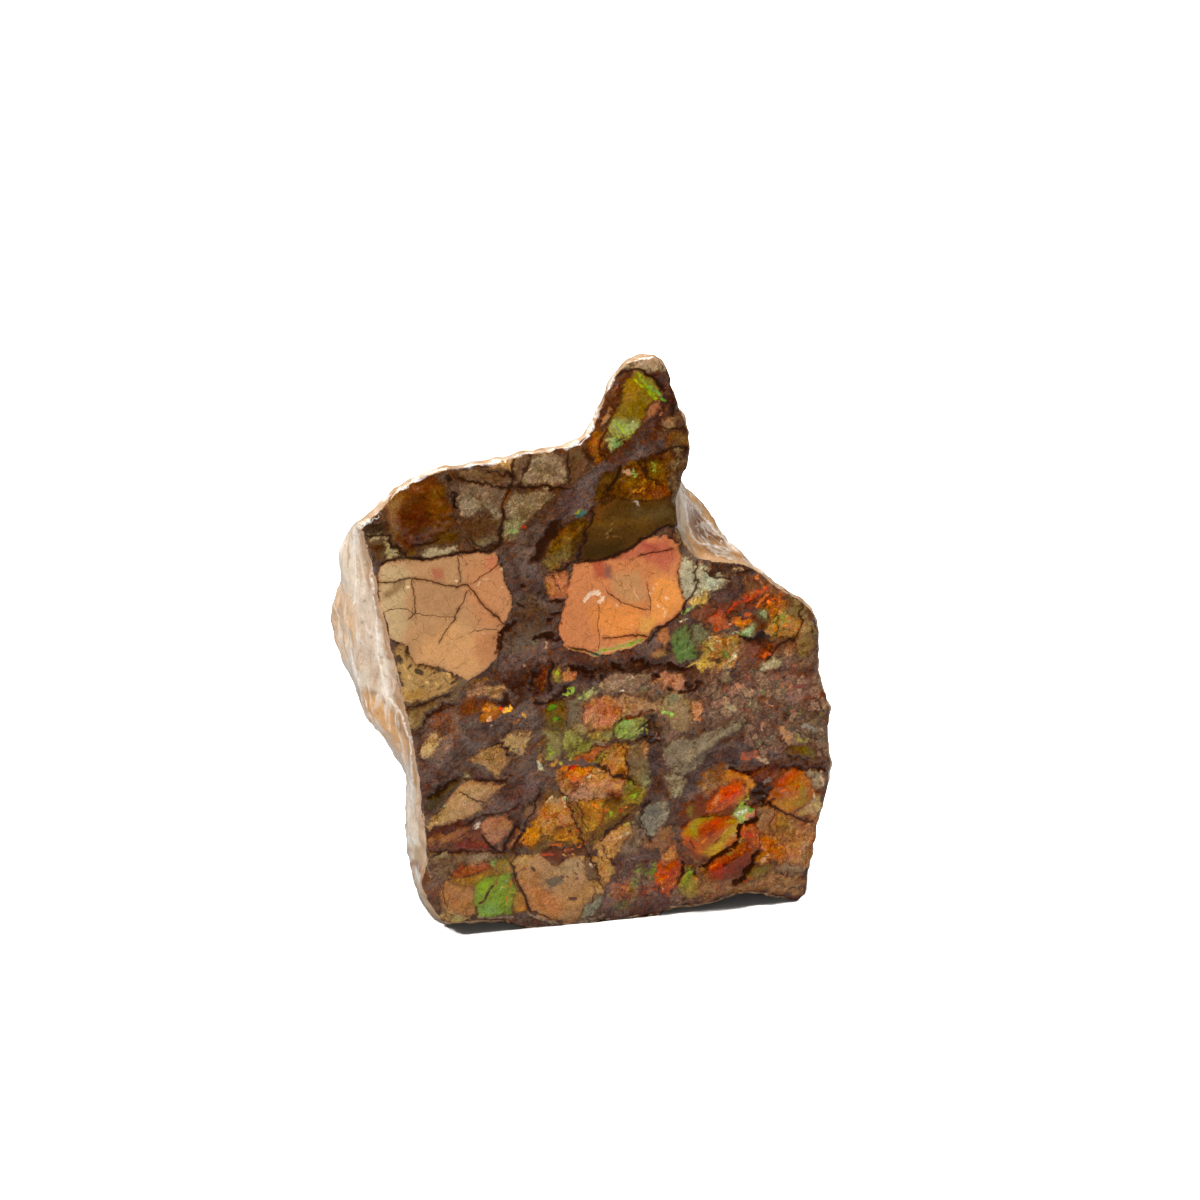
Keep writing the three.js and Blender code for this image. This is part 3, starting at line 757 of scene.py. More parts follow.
shard("7a3c20", "4c2014", 0.5, "750,618 766,616 764,630 752,632")
shard("86683e", "6c4a34", 0.5, "790,600 802,602 806,616 796,618 788,608")
shard("8c6a3c", "6a4a30", 0.5, "800,636 814,634 814,652 802,656 796,648")
shard("7c5038", "5c3828", 0.5, "778,640 790,636 786,648 778,652")
shard("7a7454", "5c543c", 0.5, "692,626 702,622 706,634 698,646 692,640")
shard("8a5240", "64382c", 0.5, "740,646 756,642 758,654 744,660")
shard("a06a3c", "c08448", 0.5, "716,660 726,664 734,660 732,668 718,670")
fleck("d24018", "731,608 742,603 748,599", 1.8)
fleck("c83c14", "712,616 718,610", 1.8)
fleck("e0703c", "766,604 774,598", 1.6)
fleck("c05820", "774,630 780,622", 1.8)
fleck("b0a850", "770,622 776,616", 1.6)
fleck("a8b070", "710,646 716,652", 2)
fleck("d08a3c", "726,644 732,650", 2)
fleck("c8c89c", "704,640 712,637 722,639", 1.2)
fleck("d0d0a8", "738,650 732,660 724,664", 1.1)
fleck("c46a30", "780,634 788,626", 1.8)
fleck("c07048", "756,577 762,584", 4)
for colour, text, width in (
        ("5a3a24", "708,648 714,652", 2), ("a85a3a", "718,644 724,648", 2.2),
        ("5c4c28", "730,640 734,646", 2), ("c08a4c", "706,656 714,658", 2),
        ("6c8c3c", "722,654 728,658", 2.2), ("4c3420", "716,660 722,656", 1.8),
        ("8aa04c", "714,640 718,643", 2), ("a06a48", "700,646 704,650", 2),
        ("7a8c3c", "782,616 788,622", 2.4), ("a86a3c", "790,618 792,630", 2.4),
        ("5c3c2a", "784,628 790,632", 2), ("c8703c", "716,638 722,636", 2)):
    fleck(colour, text, width)
shard("b0a283", "95825e", 0.4,
    "680,556 688,560 695,565 705,565 712,575 720,572 728,580 720,588 710,590 700,595 693,600 687,600"
    " 683,590 680,578")
stain_and_shade("aab094", "700,575 716,575 722,582 706,590", 4, 0.6)
shard("cfa35a", "b9884a", 0.3, "690,603 695,596 705,592 709,594 705,602 695,607")
fleck("9fb45c", "684,612 692,608", 3)
fleck("c7b98c", "680,622 688,618", 2)
crack("695,562 695,580 697,588 693,597 686,605 684,612", 1.8)
crack("648,642 655,632 668,624 680,614", 1.6)
shard("5e6c38", "6c6842", 0.4,
    "672,645 675,635 683,628 690,626 691,638 693,648 697,658 690,662 680,660 673,652")
stain_and_shade("727048", "684,626 692,626 694,636 684,640", 4, 0.6)
stain_and_shade("587038", "674,640 684,640 682,654 674,650", 4, 0.6)
shard("a5663c", "8a5236", 0.4, "658,640 660,630 668,628 670,638 664,646")
shard("a88044", "8c5c3c", 0.5, "652,652 664,650 672,653 664,658 652,656")
shard("8c7a40", "a06238", 0.55,
    "703,640 712,638 730,636 740,638 740,645 736,658 727,665 718,660 710,657 697,657 704,650")
stain_and_shade("96923c", "704,642 716,642 712,656 700,656", 4, 0.6)
stain_and_shade("a08c5c", "724,648 738,646 730,662", 4, 0.5)
stain_and_shade("bb7a2c", "714,638 736,640", 3, 0.8, width=5)
shard("bc7a50", "b08a3c", 0.5, "692,666 700,662 712,662 717,665 710,669 700,669")
shard("a8503c", "84402c", 0.5, "704,618 716,612 724,607 727,616 722,626 712,634 712,624")
stain_and_shade("cf5a32", "709,619 720,617 716,628", 3, 0.8, width=4)
shard("8a4c34", "5c342a", 0.55, "716,606 730,600 735,612 728,618 724,610")
shard("84503a", "5e3a28", 0.5, "744,576 758,574 768,582 776,588 770,597 752,600 744,592")
stain_and_shade("c43a10", "766,590 756,593 746,597", 3, 0.9, width=5)
fleck("d14a12", "764,588 756,592", 3.4)
fleck("c8442c", "750,595 742,600 734,604 728,612", 1.8)
fleck("d07a52", "758,579 764,588", 2.6)
fleck("c6642c", "766,596 760,602 754,606", 3)
fleck("d4581a", "740,614 752,613", 2.2)
shard("cc6410", "a84a10", 0.4, "733,619 745,619 743,628 736,624")
fleck("cd5016", "712,632 724,628 735,620", 2.4)
fleck("f2c49a", "729,621 729,623", 1.8)
fleck("e58a3a", "736,622 742,624", 3)
shard("98a878", "7f8c58", 0.4, "744,630 750,624 762,612 768,610 762,620 750,632")
fleck("6ea428", "742,634 745,636", 2.6)
fleck("c9c8a0", "728,634 734,632 738,635", 1.4)
shard("92763c", "a85f2e", 0.5, "777,612 790,610 798,622 796,636 782,638 776,628")
stain_and_shade("a7923a", "778,612 788,612 786,626 778,624", 4, 0.7)
shard("94744c", "7c5a3c", 0.45, "802,625 812,622 815,632 806,640 802,634")
shard("5c1e08", "8a3410", 0.5, "757,652 766,646 782,642 776,650 764,658 760,662")
fleck("c4541c", "761,658 767,655", 3.4)
shard("9a6248", "84503c", 0.4, "783,646 792,638 797,645 793,655 787,655")
shard("9c8868", "7c6850", 0.4, "762,664 776,658 778,664 766,671")
crack("728,578 712,576 706,570", 2.4)
crack("792,636 780,647 766,660", 1.6)
crack("800,606 800,625 794,640", 1.4)
crack("745,638 765,636", 3)
hollow("745,637 765,636 778,640 760,646 748,644", 0.4, 3)


# ---- Main vein ----------------------------------------------------------------------------------
# Clay washed in between the pieces and set hard: mauve-brown, rough, with pits where it shrank.
# It runs down from the horn, crosses under the two large shards and forks below them.

bed("5e4c45", "46342d", 0.4,
    "540,520 560,494 580,480 602,462 622,460 648,440 662,440 640,470 600,482 590,508 560,522", 5)
bed("624b3e", "4e372c", 0.4, "516,528 530,520 560,500 560,520 540,545 530,560 505,560 505,545", 5)
bed("58463e", "48352c", 0.35, "505,562 540,560 544,600 552,640 530,640 512,640 512,600", 5)
bed("6b5743", "4a382e", 0.5, "514,604 532,594 546,610 540,650 505,664 504,640", 5)
bed("5c4238", "4e3026", 0.35, "502,655 560,640 640,650 700,640 720,664 640,670 560,690 500,684", 6)
bed("4a2f24", "351d12", 0.5, "500,684 530,664 550,664 548,696 520,702", 4)
for text, width in (
        ("520,587 527,586", 3), ("548,602 558,601 565,599", 4), ("553,614 563,613", 3.6),
        ("548,623 553,622", 3.2), ("535,640 543,634 552,636 556,642", 7), ("518,603 524,605", 3),
        ("560,622 563,624", 3)):
    rift(text, width, 0.8)
fleck("5f9a3c", "534,643 536,645", 2.2)
fleck("a5836a", "542,643 545,647", 2.6)
fleck("97806a", "526,662 527,668", 1.2)
for text in ("500,634 508,626 515,620", "501,634 499,642 496,652"):
    rift(text, 8, 0.9)
for text, width in (
        ("574,662 580,666 590,672 588,678", 8), ("612,664 620,668", 10), ("628,660 640,660 655,664", 8),
        ("648,674 656,676", 8), ("660,664 675,666 690,670", 6), ("566,662 576,668", 4),
        ("600,676 602,680", 4), ("684,684 700,682", 4.5), ("664,689 684,691 698,686", 4.5)):
    rift(text, width, 0.75)
bed("3a2014", "5a2c0e", 0.35, "574,660 600,664 640,656 700,668 690,676 640,680 590,682 570,672", 4)
shard("531707", "7c3a12", 0.45, "537,672 543,664 547,670 546,686 538,694 535,684")
stain_and_shade("6c1206", "543,668 542,680", 3, 0.9, width=5)
rift("537,664 532,676 531,690", 5, 0.6)
crack("549,664 549,690", 3)
shard("7d8c30", "7a5c24", 0.5, "553,670 560,664 563,672 560,683 553,682")
fleck("93b22a", "559,669 560,675", 2.8)
shard("bc7048", "a2542c", 0.4, "564,672 571,668 577,674 574,681 565,682")
bed("56443e", "463530", 0.25, "536,698 546,699 554,690 564,685 580,682 602,682 620,676", 3, width=8)
crack("536,702 547,703 556,694 566,688", 3)
fleck("86a03c", "570,691 575,689", 2.8)
fleck("889a40", "563,693 566,692", 2.8)
shard("8f8458", "a08a60", 0.4, "575,696 585,691 598,688 601,691 590,697 580,698")
fleck("93a44c", "580,696 590,694", 1.8)
rift("548,702 556,698 566,696", 4, 0.5)
fleck("7c3c10", "566,697 574,698", 2)


# ---- Left ledge and ember -----------------------------------------------------------------------
# Left of the fork the clay is full of sand-coloured shell. One chip below the main vein catches the
# light like an ember.

bed("7a5f3e", "3f2d1e", 0.5, "392,646 412,652 440,672 470,684 450,700 405,712 398,690", 5)
shard("a87e48", "5c462c", 0.4,
    "394,648 406,646 411,658 416,667 432,669 446,674 460,681 452,690 440,697 425,700 406,706 402,695"
    " 398,675", 0.3)
stain_and_shade("b08c54", "404,664 414,668 418,690 406,694", 4, 0.6)
stain_and_shade("9a6c2c", "408,698 424,692", 4, 0.7, width=6)
for text, width in (
        ("417,671 422,673", 5), ("398,658 401,662", 4), ("399,674 402,686", 5), ("452,683 458,679", 2.6),
        ("394,650 402,650", 2), ("408,668 412,664", 2.4), ("420,688 424,686", 2.2),
        ("430,676 436,673", 2), ("438,690 442,686", 2.6), ("412,690 414,694", 2),
        ("444,678 448,682", 1.8), ("427,694 430,690", 1.8), ("405,655 408,660", 1.6)):
    fleck("4a3826", text, width)
for text, width in (
        ("408,676 412,680", 2.4), ("424,680 428,684", 2.4), ("434,682 438,686", 2),
        ("404,666 406,670", 2), ("442,672 450,676", 2), ("416,682 420,679", 1.8)):
    fleck("c09a62", text, width)
crack("405,710 420,704 436,700 447,694", 1.6)
shard("8e6c42", "6c4e30", 0.5, "407,712 428,703 436,704 424,714 414,730 408,728")
shard("9a6e4e", "845a42", 0.4, "465,690 480,683 500,685 510,690 500,698 480,698 468,697")
fleck("7c5010", "470,682 486,679", 3)
bed("824e30", "3a1c0c", 0.45, "458,700 480,700 500,704 500,716 486,724 466,722", 4)
shard("8a420c", "50200a", 0.5, "462,698 474,700 478,712 468,716 460,712")
shard("b4682c", "8c4414", 0.5, "478,718 482,708 490,703 500,708 500,716 492,721 482,722")
fleck("d07c34", "484,710 490,709", 3)
fleck("e0a070", "486,720 491,719", 2.4)
fleck("ffb428", "503,713 511,707", 4.4)
fleck("e0380c", "502,708 502,712", 3)
fleck("ffe070", "505,712 511,708", 1.6)
fleck("dd9a3c", "523,716 524,717", 3.6)
fleck("a8622c", "515,723 520,720", 2)
hollow("500,704 505,690 511,704 506,706", 0.5, 1.5)
rift("419,727 427,716 438,710 450,703", 5, 0.6)
bed("83614d", "6a4b3a", 0.3, "438,712 460,712 470,740 440,760 426,736", 8)
bed("5c4a41", "4e3a30", 0.3, "468,714 540,706 538,724 500,740 470,760 440,785 425,776 450,752", 7)
bed("5e483e", "80573c", 0.3, "416,760 446,764 440,782 424,790 416,778", 5)
fleck("9c8a78", "490,727 493,723", 1.4)
fleck("8c7a68", "452,764 454,760", 1.2)
shard("b08a5f", "94704a", 0.4, "430,732 440,733 441,745 437,752 425,758 420,757 424,748 428,738")
stain_and_shade("c49c6c", "430,742 438,742 434,752 428,752", 3, 0.6)
shard("a07850", "8a5e40", 0.4,
    "498,737 508,734 518,733 526,730 533,730 532,742 528,748 522,756 515,756 508,750 503,744")
shard("a07046", "6e4c38", 0.45,
    "480,752 486,748 497,744 502,748 508,753 510,760 508,766 503,770 501,777 495,776 488,771 480,768"
    " 474,767 468,764 470,758 476,756")
stain_and_shade("b48654", "486,762 504,760 502,774 492,772", 4, 0.7)
fleck("54443a", "474,766 484,768 488,774", 3)
fleck("594a3e", "486,755 494,758", 1.8)
fleck("5a4c42", "514,750 518,751", 2.6)
shard("a08a62", "84683e", 0.4, "462,776 467,771 470,777 464,783 459,782")
crack("497,744 503,746 509,754", 1.4)
shard("4a3210", "3a220c", 0.5, "425,796 440,786 458,776 463,782 448,795 440,808 430,812")
stain_and_shade("6d5414", "444,790 456,784 452,796 444,800", 3, 0.7)
rift("424,796 436,792 446,783 458,776", 6, 0.6)
rift("460,779 482,779 500,780 510,774", 4, 0.5)
fleck("4e1406", "474,777 494,778", 2)
shard("ac8052", "8e5e3c", 0.4,
    "460,787 467,782 475,781 490,783 503,785 500,790 493,797 487,803 480,808 472,812 462,818 450,822"
    " 440,826 428,829 425,827 430,820 440,812 445,803 452,795")
stain_and_shade("b48a5c", "466,788 490,790 480,802 462,806", 5, 0.7)
stain_and_shade("8c4a24", "462,785 480,782 502,786", 2.5, 0.8, width=3)
stain_and_shade("8e6e3e", "428,818 446,806 452,812 438,824", 4, 0.6)
stain_and_shade("a26a4c", "470,806 486,798 498,788", 4, 0.6, width=6)
fleck("8c8a70", "442,808 446,806", 1.8)
crack("462,793 475,801 485,803", 1)
bed("5a423b", "46302a", 0.3, "495,800 520,778 540,762 545,790 520,806 480,812", 6)
fleck("4a120a", "516,786 522,784 526,784", 2.4)
rift("466,825 472,818 480,814 488,813 500,812 510,810 518,804", 4.5, 0.55)
bed("643c2c", "4a2a20", 0.4, "426,826 462,820 470,830 446,848 426,848", 4)
shard("8e5232", "6c3a24", 0.45, "427,838 440,833 455,829 464,826 472,830 458,838 446,844 430,846")
stain_and_shade("a8683c", "430,843 446,838", 3, 0.7, width=4)
shard("6e3426", "561208", 0.45, "454,840 466,830 480,830 487,840 492,848 470,849 448,849")
stain_and_shade("701004", "462,846 476,843 482,846", 3, 0.8, width=5)
stain_and_shade("8a2808", "482,844 490,849", 3, 0.8, width=4)
shard("a06444", "865038", 0.35,
    "481,820 490,817 500,816 507,817 511,822 514,828 508,834 502,840 497,845 490,843 486,838 482,830")
stain_and_shade("b08456", "504,826 510,828", 4, 0.6, width=6)
fleck("c4b09a", "473,829 475,824 478,822 478,827 474,831", 1.4)
shard("9b5c34", "7e3a1a", 0.4, "515,828 519,835 516,843 510,850 507,845 512,838")
rift("430,850 460,851 485,850 508,851", 4, 0.5)
rift("510,851 518,838 522,828 530,820", 5, 0.5)
crack("484,836 490,845 500,851", 2)
crack("501,849 508,838 515,828", 2)
crack("540,790 537,800 533,812 525,824", 1.4)
shard("84603f", "6c4c3c", 0.5, "522,808 540,800 536,812 526,822")


# ---- Bottom shards ------------------------------------------------------------------------------
# Along the foot: a vivid green shell with orange edges, and a smooth beige one with dark stains.

bed("6a4f3a", "40291c", 0.5, "424,850 500,852 520,856 600,890 600,915 440,918 426,890", 5)
bed("745440", "54382a", 0.4, "424,868 446,872 442,895 430,905 424,892", 4)
shard("a46a3a", "88522c", 0.35,
    "448,884 460,886 472,887 476,895 476,905 474,912 465,914 450,913 444,908 442,898")
shard("905c0c", "a4721a", 0.45, "450,876 465,878 480,872 492,868 500,872 488,876 478,882 472,887 456,884")
shard("7a8c1c", "648020", 0.4,
    "477,882 485,877 492,874 500,875 508,876 512,880 516,890 514,900 510,908 500,913 488,917 480,915"
    " 475,905 474,895")
stain_and_shade("86a00c", "480,882 490,878 488,890 480,892", 3, 0.7)
stain_and_shade("7c9c4c", "476,904 496,902 498,914 482,916", 4, 0.7)
stain_and_shade("8a7c1c", "488,876 500,874 498,888 492,890", 3, 0.5)
fleck("4c1a08", "479,903 485,899 488,890 492,885", 2.6)
fleck("7a4a14", "495,884 499,872", 1.8)
fleck("c0642c", "512,880 509,894 504,909", 1.3)
fleck("b0703c", "509,878 505,890", 1)
fleck("9cb05a", "500,890 508,880", 1.6)
shard("a2641c", "b8701c", 0.4, "511,877 518,890 526,900 529,910 522,912 514,906 516,892")
stain_and_shade("a49028", "515,893 513,905", 3, 0.8, width=4)
shard("9a3c10", "742008", 0.45, "452,876 465,869 478,865 488,863 491,867 480,871 465,876 455,879")
stain_and_shade("b04a10", "472,869 486,866", 3, 0.7, width=4)
shard("8a6c50", "6c4c38", 0.5, "480,852 500,854 498,860 486,862 470,864 468,858")
stain_and_shade("c9b08c", "478,860 488,858", 2, 0.8, width=2.6)
shard("80702c", "8a5a1a", 0.5, "492,860 498,854 504,858 510,866 510,874 500,870 492,866")
fleck("82944c", "492,864 496,858", 2.4)
shard("8a6844", "5c3e26", 0.5, "432,854 446,853 460,856 468,860 450,864 436,863")
stain_and_shade("b09874", "434,855 448,856 462,859", 1.5, 0.8, width=1.8)
fleck("2c1c10", "432,857 438,853 446,851", 2)
shard("6a4c38", "8a6a52", 0.4, "434,872 446,866 452,870 444,880 436,878")
shard("a88a52", "a45f38", 0.45, "440,914 466,916 470,920 452,923 443,919")
stain_and_shade("a0a050", "450,920 466,918", 2, 0.6, width=3)
crack("444,886 443,896 446,906", 0.8)
crack("513,862 514,876 520,888 526,898 529,910", 2)
shard("a8784c", "8e6440", 0.4,
    "513,863 522,858 532,856 540,855 546,860 552,864 558,866 562,862 570,858 578,856 583,862 585,872"
    " 588,880 600,882 601,892 595,898 590,905 583,910 580,918 570,922 560,922 545,918 532,910 527,898"
    " 520,888 514,875")
stain_and_shade("bc682c", "522,882 546,890 566,902 556,916 534,908", 8, 0.8)
stain_and_shade("a8682c", "518,864 540,870 538,888 522,882", 6, 0.6)
stain_and_shade("a68660", "546,862 582,858 584,878 560,874", 6, 0.7)
stain_and_shade("ac7840", "560,886 596,886 590,904 566,912", 7, 0.6)
fleck("6e5c46", "545,879 562,877 562,884 556,887 548,884")
fleck("5e3224", "567,900 569,896 577,896 575,901")
fleck("4c3422", "531,868 533,870", 4.4)
for text in ("576,864 578,866", "575,873 577,874", "567,877 568,878", "561,876 563,877", "576,879 578,879"):
    fleck("6a3a30", text, 2.4)
stain_and_shade("7c5c40", "548,884 556,884 552,894", 4, 0.5)
shard("7d7660", "8c8062", 0.4, "583,905 592,897 600,895 597,905 590,915 583,920 578,916")
shard("93481a", "5a220c", 0.55, "540,850 560,846 583,845 583,854 570,857 558,865 548,858 540,856")
fleck("c25a20", "566,849 580,846", 2.6)
fleck("b0482c", "542,855 552,854", 2.6)
fleck("b58a50", "564,856 572,856", 2.2)
rift("546,860 557,866 566,859", 2.4, 0.35)
crack("529,910 538,914 560,920", 0.9)
crack("592,900 594,890", 1)
for text in ("478,917 498,919 512,916", "528,914 545,920 560,923", "572,924 590,921 602,914"):
    fleck("8c745c", text, 2.6)
fleck("b08c60", "446,908 458,916 470,917", 2.4)
fleck("a88e74", "430,858 428,868 430,876", 1.6)


# ---- Middle of the mosaic -----------------------------------------------------------------------
# Between the veins the shell is broken small: salmon, olive, mustard, red and green chips, and an
# amber field below them.

packed("552,736 612,740 648,748 650,790 640,850 560,850 528,846 532,822 552,790", 4.5)
packed("545,700 600,694 690,694 700,724 650,748 600,745 545,750", 2.5)
bed("80604a", "5e4432", 0.4, "566,700 640,694 660,712 620,740 560,760", 5)
bed("8a6a50", "6a4c3c", 0.4, "552,704 575,716 580,728", 4, width=12)
packed("430,850 510,850 600,856 616,880 600,912 440,920", 3)
bed("6c5442", "4e3a2c", 0.5, "545,700 600,696 660,680 700,700 690,740 640,745 560,765 542,740", 6)
rubble("600,684 660,670 700,690 740,700 740,720 700,716 640,712 600,696", 0.8)
shard("5e5020", "6c3c14", 0.5, "545,702 560,700 566,708 567,718 560,728 550,730 544,722 545,712")
fleck("4a8418", "550,709 554,705", 3)
fleck("587c28", "553,721 560,718", 2.4)
shard("7c6a52", "5e4c3c", 0.5, "567,702 582,700 580,716 574,726 566,724 568,712")
shard("8a7746", "6c5c38", 0.5, "543,732 550,728 558,735 558,745 556,755 552,762 547,757 545,745")
fleck("7a8424", "549,748 550,757", 2.6)
shard("a8743c", "8a5c30", 0.4, "540,744 543,752 545,762 542,770 537,766 538,756")
fleck("b9b592", "539,765 542,767", 4)
fleck("b47c2c", "552,763 555,764", 3.4)
fleck("a39a2c", "559,762 561,764", 3.4)
shard("b66c4a", "964630", 0.45,
    "583,713 588,706 592,704 594,698 600,700 606,696 613,698 618,705 621,713 615,717 612,724 606,722"
    " 602,731 594,730 589,733 584,722")
stain_and_shade("c48460", "584,716 592,710 594,724 588,728", 4, 0.6)
stain_and_shade("b04428", "600,700 610,704 608,716 598,712", 4, 0.6)
stain_and_shade("bf6c38", "612,702 619,712 612,718", 3, 0.7)
stain_and_shade("7e4a34", "588,724 600,712 606,700", 3, 0.6, width=3)
shard("9a6c4c", "7c5440", 0.4, "619,701 640,696 652,700 664,698 656,708 645,712 630,714 620,709")
stain_and_shade("b47850", "624,706 640,704", 4, 0.6, width=5)
shard("84624c", "9c785c", 0.4, "604,678 618,672 632,674 648,672 654,684 640,690 628,688 612,693 602,688")
# Painted highlight: a white glint on this grey-brown piece.
fleck("c8b49c", "620,690 624,692", 1.4)
fleck("b8a088", "626,680 632,676", 1.4)
fleck("b8a088", "612,686 618,684", 1.2)
shard("8c7048", "775a3c", 0.4, "573,727 580,722 586,730 584,735 574,732")
shard("867c3a", "7a6a3c", 0.35, "567,733 572,730 578,733 581,740 578,745 572,750 567,745")
shard("8f7234", "807c44", 0.4, "583,735 595,730 605,730 612,733 610,738 600,740 588,739")
stain_and_shade("a87c30", "590,733 598,734", 3, 0.8, width=5)
stain_and_shade("7c7c5c", "604,733 611,735", 2, 0.8, width=5)
shard("8a8234", "9c7c36", 0.4, "572,756 580,745 586,741 598,741 592,746 582,752 575,757")
shard("8f7658", "6e5a46", 0.4, "586,741 606,741 600,745 590,746")
shard("a8482c", "8a2408", 0.4, "577,758 585,752 597,748 607,745 602,752 597,758 590,761")
rift("582,752 594,747 610,744", 2.4, 0.35)
shard("8a8438", "8a6a34", 0.4, "592,762 602,754 612,748 616,750 604,758 596,764")
shard("ad6630", "96602a", 0.45,
    "597,763 605,757 612,752 619,745 623,752 628,758 628,768 626,776 622,778 612,773 603,767")
stain_and_shade("c07a48", "604,750 618,744", 3, 0.7, width=5)
stain_and_shade("8c5a30", "604,768 616,756 624,752", 2, 0.7, width=2)
stain_and_shade("c4844c", "610,766 622,758", 2, 0.6, width=3)
crack("619,744 624,752 629,762 628,776", 1.2)
bed("54403a", "4a3630", 0.2, "556,762 570,763 585,765 596,763", 2, width=4)
crack("597,765 608,770 622,777 631,781", 2)
crack("588,774 600,776 608,772", 0.8)
shard("c05c18", "a03c08", 0.4, "563,778 570,768 577,766 592,768 586,776 582,782 575,782 568,780")
fleck("cf2608", "569,770 573,768", 4)
rift("564,777 570,767 578,765 594,766", 2.4, 0.4)
shard("a8683c", "8c5634", 0.45, "562,776 568,782 576,784 570,790 560,784")
fleck("93803a", "567,781 570,780", 2.6)
shard("b87648", "a4643c", 0.4, "586,780 598,770 610,775 622,780 628,785 620,790 604,792 592,796 584,790")
stain_and_shade("b87440", "596,774 612,777 610,788 598,788", 5, 0.5)
fleck("c8b088", "583,783 590,777", 1.8)
shard("ac7c62", "926048", 0.4, "573,794 584,786 600,790 606,796 590,800 576,802")
hollow("606,796 610,789 616,788 622,791 618,796 612,798", 0.3, 5)
shard("5a5a1c", "7c5a1c", 0.5, "622,786 634,780 640,790 640,800 626,804 620,796")
fleck("7c9020", "632,797 636,794", 3)
fleck("6c8434", "630,784 633,786", 2.4)
shard("84704a", "64503a", 0.55, "630,752 640,744 646,760 648,785 636,782 630,768")
stain_and_shade("8a9060", "640,776 646,784", 4, 0.7, width=6)
stain_and_shade("a8703c", "636,752 640,770 638,782", 3, 0.6, width=4)
stain_and_shade("6a4c34", "632,756 634,772 640,784", 2, 0.7, width=2)
shard("b5764e", "945a3e", 0.4, "640,744 646,742 648,748 644,754 640,752")
shard("848c44", "948c58", 0.4, "614,733 617,724 622,718 632,718 640,721 637,730 630,735 620,736")
stain_and_shade("78a046", "625,722 634,722", 3, 0.7, width=4)
stain_and_shade("a89c60", "634,730 638,722", 3, 0.7, width=4)
rift("613,729 619,719 628,714 640,714 652,710", 4, 0.6)
fleck("a0480e", "624,716 638,715", 1.8)
bed("2e1c14", "4a342a", 0.35, "640,716 656,712 662,730 656,745 638,740", 4)
fleck("8a7820", "645,729 647,730", 2.6)
fleck("a0674e", "654,736 657,739", 3)
rift("634,738 644,734 652,744 664,736", 4, 0.45)
bed("4a3c38", "3c2e2a", 0.35, "652,745 654,770 655,800", 4, width=12)
shard("98784e", "7a5c42", 0.5,
    "659,704 664,694 676,691 687,697 690,708 692,720 684,731 675,725 668,716 660,711")
stain_and_shade("64785c", "664,695 674,693 677,700 668,703", 2.5, 0.8)
stain_and_shade("84745c", "680,698 686,708 686,722", 2, 0.8, width=3)
stain_and_shade("5c4838", "672,712 678,718 682,728", 1.5, 0.7, width=2)
stain_and_shade("b08c58", "676,706 682,716", 2, 0.7, width=3)
fleck("8cb04e", "658,706 665,710 672,715", 3.2)
fleck("c8cc98", "662,708 667,711", 1.2)
shard("b0704c", "9a5a44", 0.4, "691,702 699,700 701,710 698,720 692,718")
stain_and_shade("c48a68", "697,704 698,714", 2, 0.6, width=3)
shard("b07456", "985a44", 0.45, "657,677 664,672 676,674 684,680 682,688 670,690 660,687")
shard("a8684c", "8c5040", 0.45, "655,680 661,682 661,690 656,688")
shard("84705a", "6a5846", 0.45,
    "660,747 672,742 700,735 730,722 745,715 742,728 720,742 706,756 695,770 684,778 672,775 664,762")
stain_and_shade("504438", "690,764 708,752 728,738 745,726", 3, 0.8, width=6)
stain_and_shade("a89470", "684,758 700,750 722,736 742,721", 1.5, 0.8, width=2)
stain_and_shade("665242", "664,756 684,745 704,736", 1.5, 0.7, width=2.4)
stain_and_shade("95805e", "700,730 720,722", 3, 0.5, width=4)
shard("8c7a5e", "706050", 0.4, "664,776 680,774 688,780 680,796 672,796 668,786")
shard("706656", "50463c", 0.35,
    "645,833 641,822 643,812 648,806 655,804 668,803 670,812 664,822 658,832 652,838")
stain_and_shade("544a42", "645,808 660,804 658,816 646,816", 4, 0.7)
stain_and_shade("8a7458", "664,806 668,812 662,822", 3, 0.7, width=5)
crack("646,800 642,810 641,824 650,840", 1.4)
shard("93603c", "7a4c38", 0.5, "641,840 652,840 662,826 672,826 672,842 660,852 648,850")

bed("805828", "4c2c10", 0.5, "545,792 600,796 642,790 640,815 610,835 600,845 545,845", 6)
shard("c06a0a", "96500c", 0.45, "523,842 522,835 527,828 535,824 540,828 537,836 533,842 527,845")
stain_and_shade("cc700a", "527,838 535,832", 3, 0.7, width=5)
shard("c8844e", "94481c", 0.5, "541,826 541,810 552,802 566,802 570,812 572,824 560,828 552,834 545,832")
stain_and_shade("c8663a", "545,812 560,818", 4, 0.6, width=6)
stain_and_shade("b8a078", "548,794 566,792 566,800 552,804", 3, 0.7)
shard("cc780a", "743a0a", 0.5, "548,838 556,829 575,826 583,834 584,844 562,846")
stain_and_shade("c08c3c", "560,840 574,838", 2, 0.7, width=3)
stain_and_shade("a84c10", "560,826 572,830", 3, 0.7, width=5)
shard("cc7c0a", "803c08", 0.5, "580,801 602,799 605,816 600,831 588,834 583,820")
stain_and_shade("6c2c08", "586,808 594,806 592,816 586,818", 3, 0.6)
stain_and_shade("b85c0c", "596,802 598,814", 4, 0.7, width=6)
stain_and_shade("8a7a1c", "586,818 592,822", 3, 0.6, width=5)
shard("b46c0a", "502c0a", 0.55, "602,802 624,802 636,806 626,818 610,832 598,842 590,834 600,820")
stain_and_shade("6e7012", "610,806 614,818", 4, 0.7, width=7)
stain_and_shade("a86410", "592,806 600,816", 4, 0.7, width=6)
stain_and_shade("a05a08", "618,804 630,800", 4, 0.7, width=6)
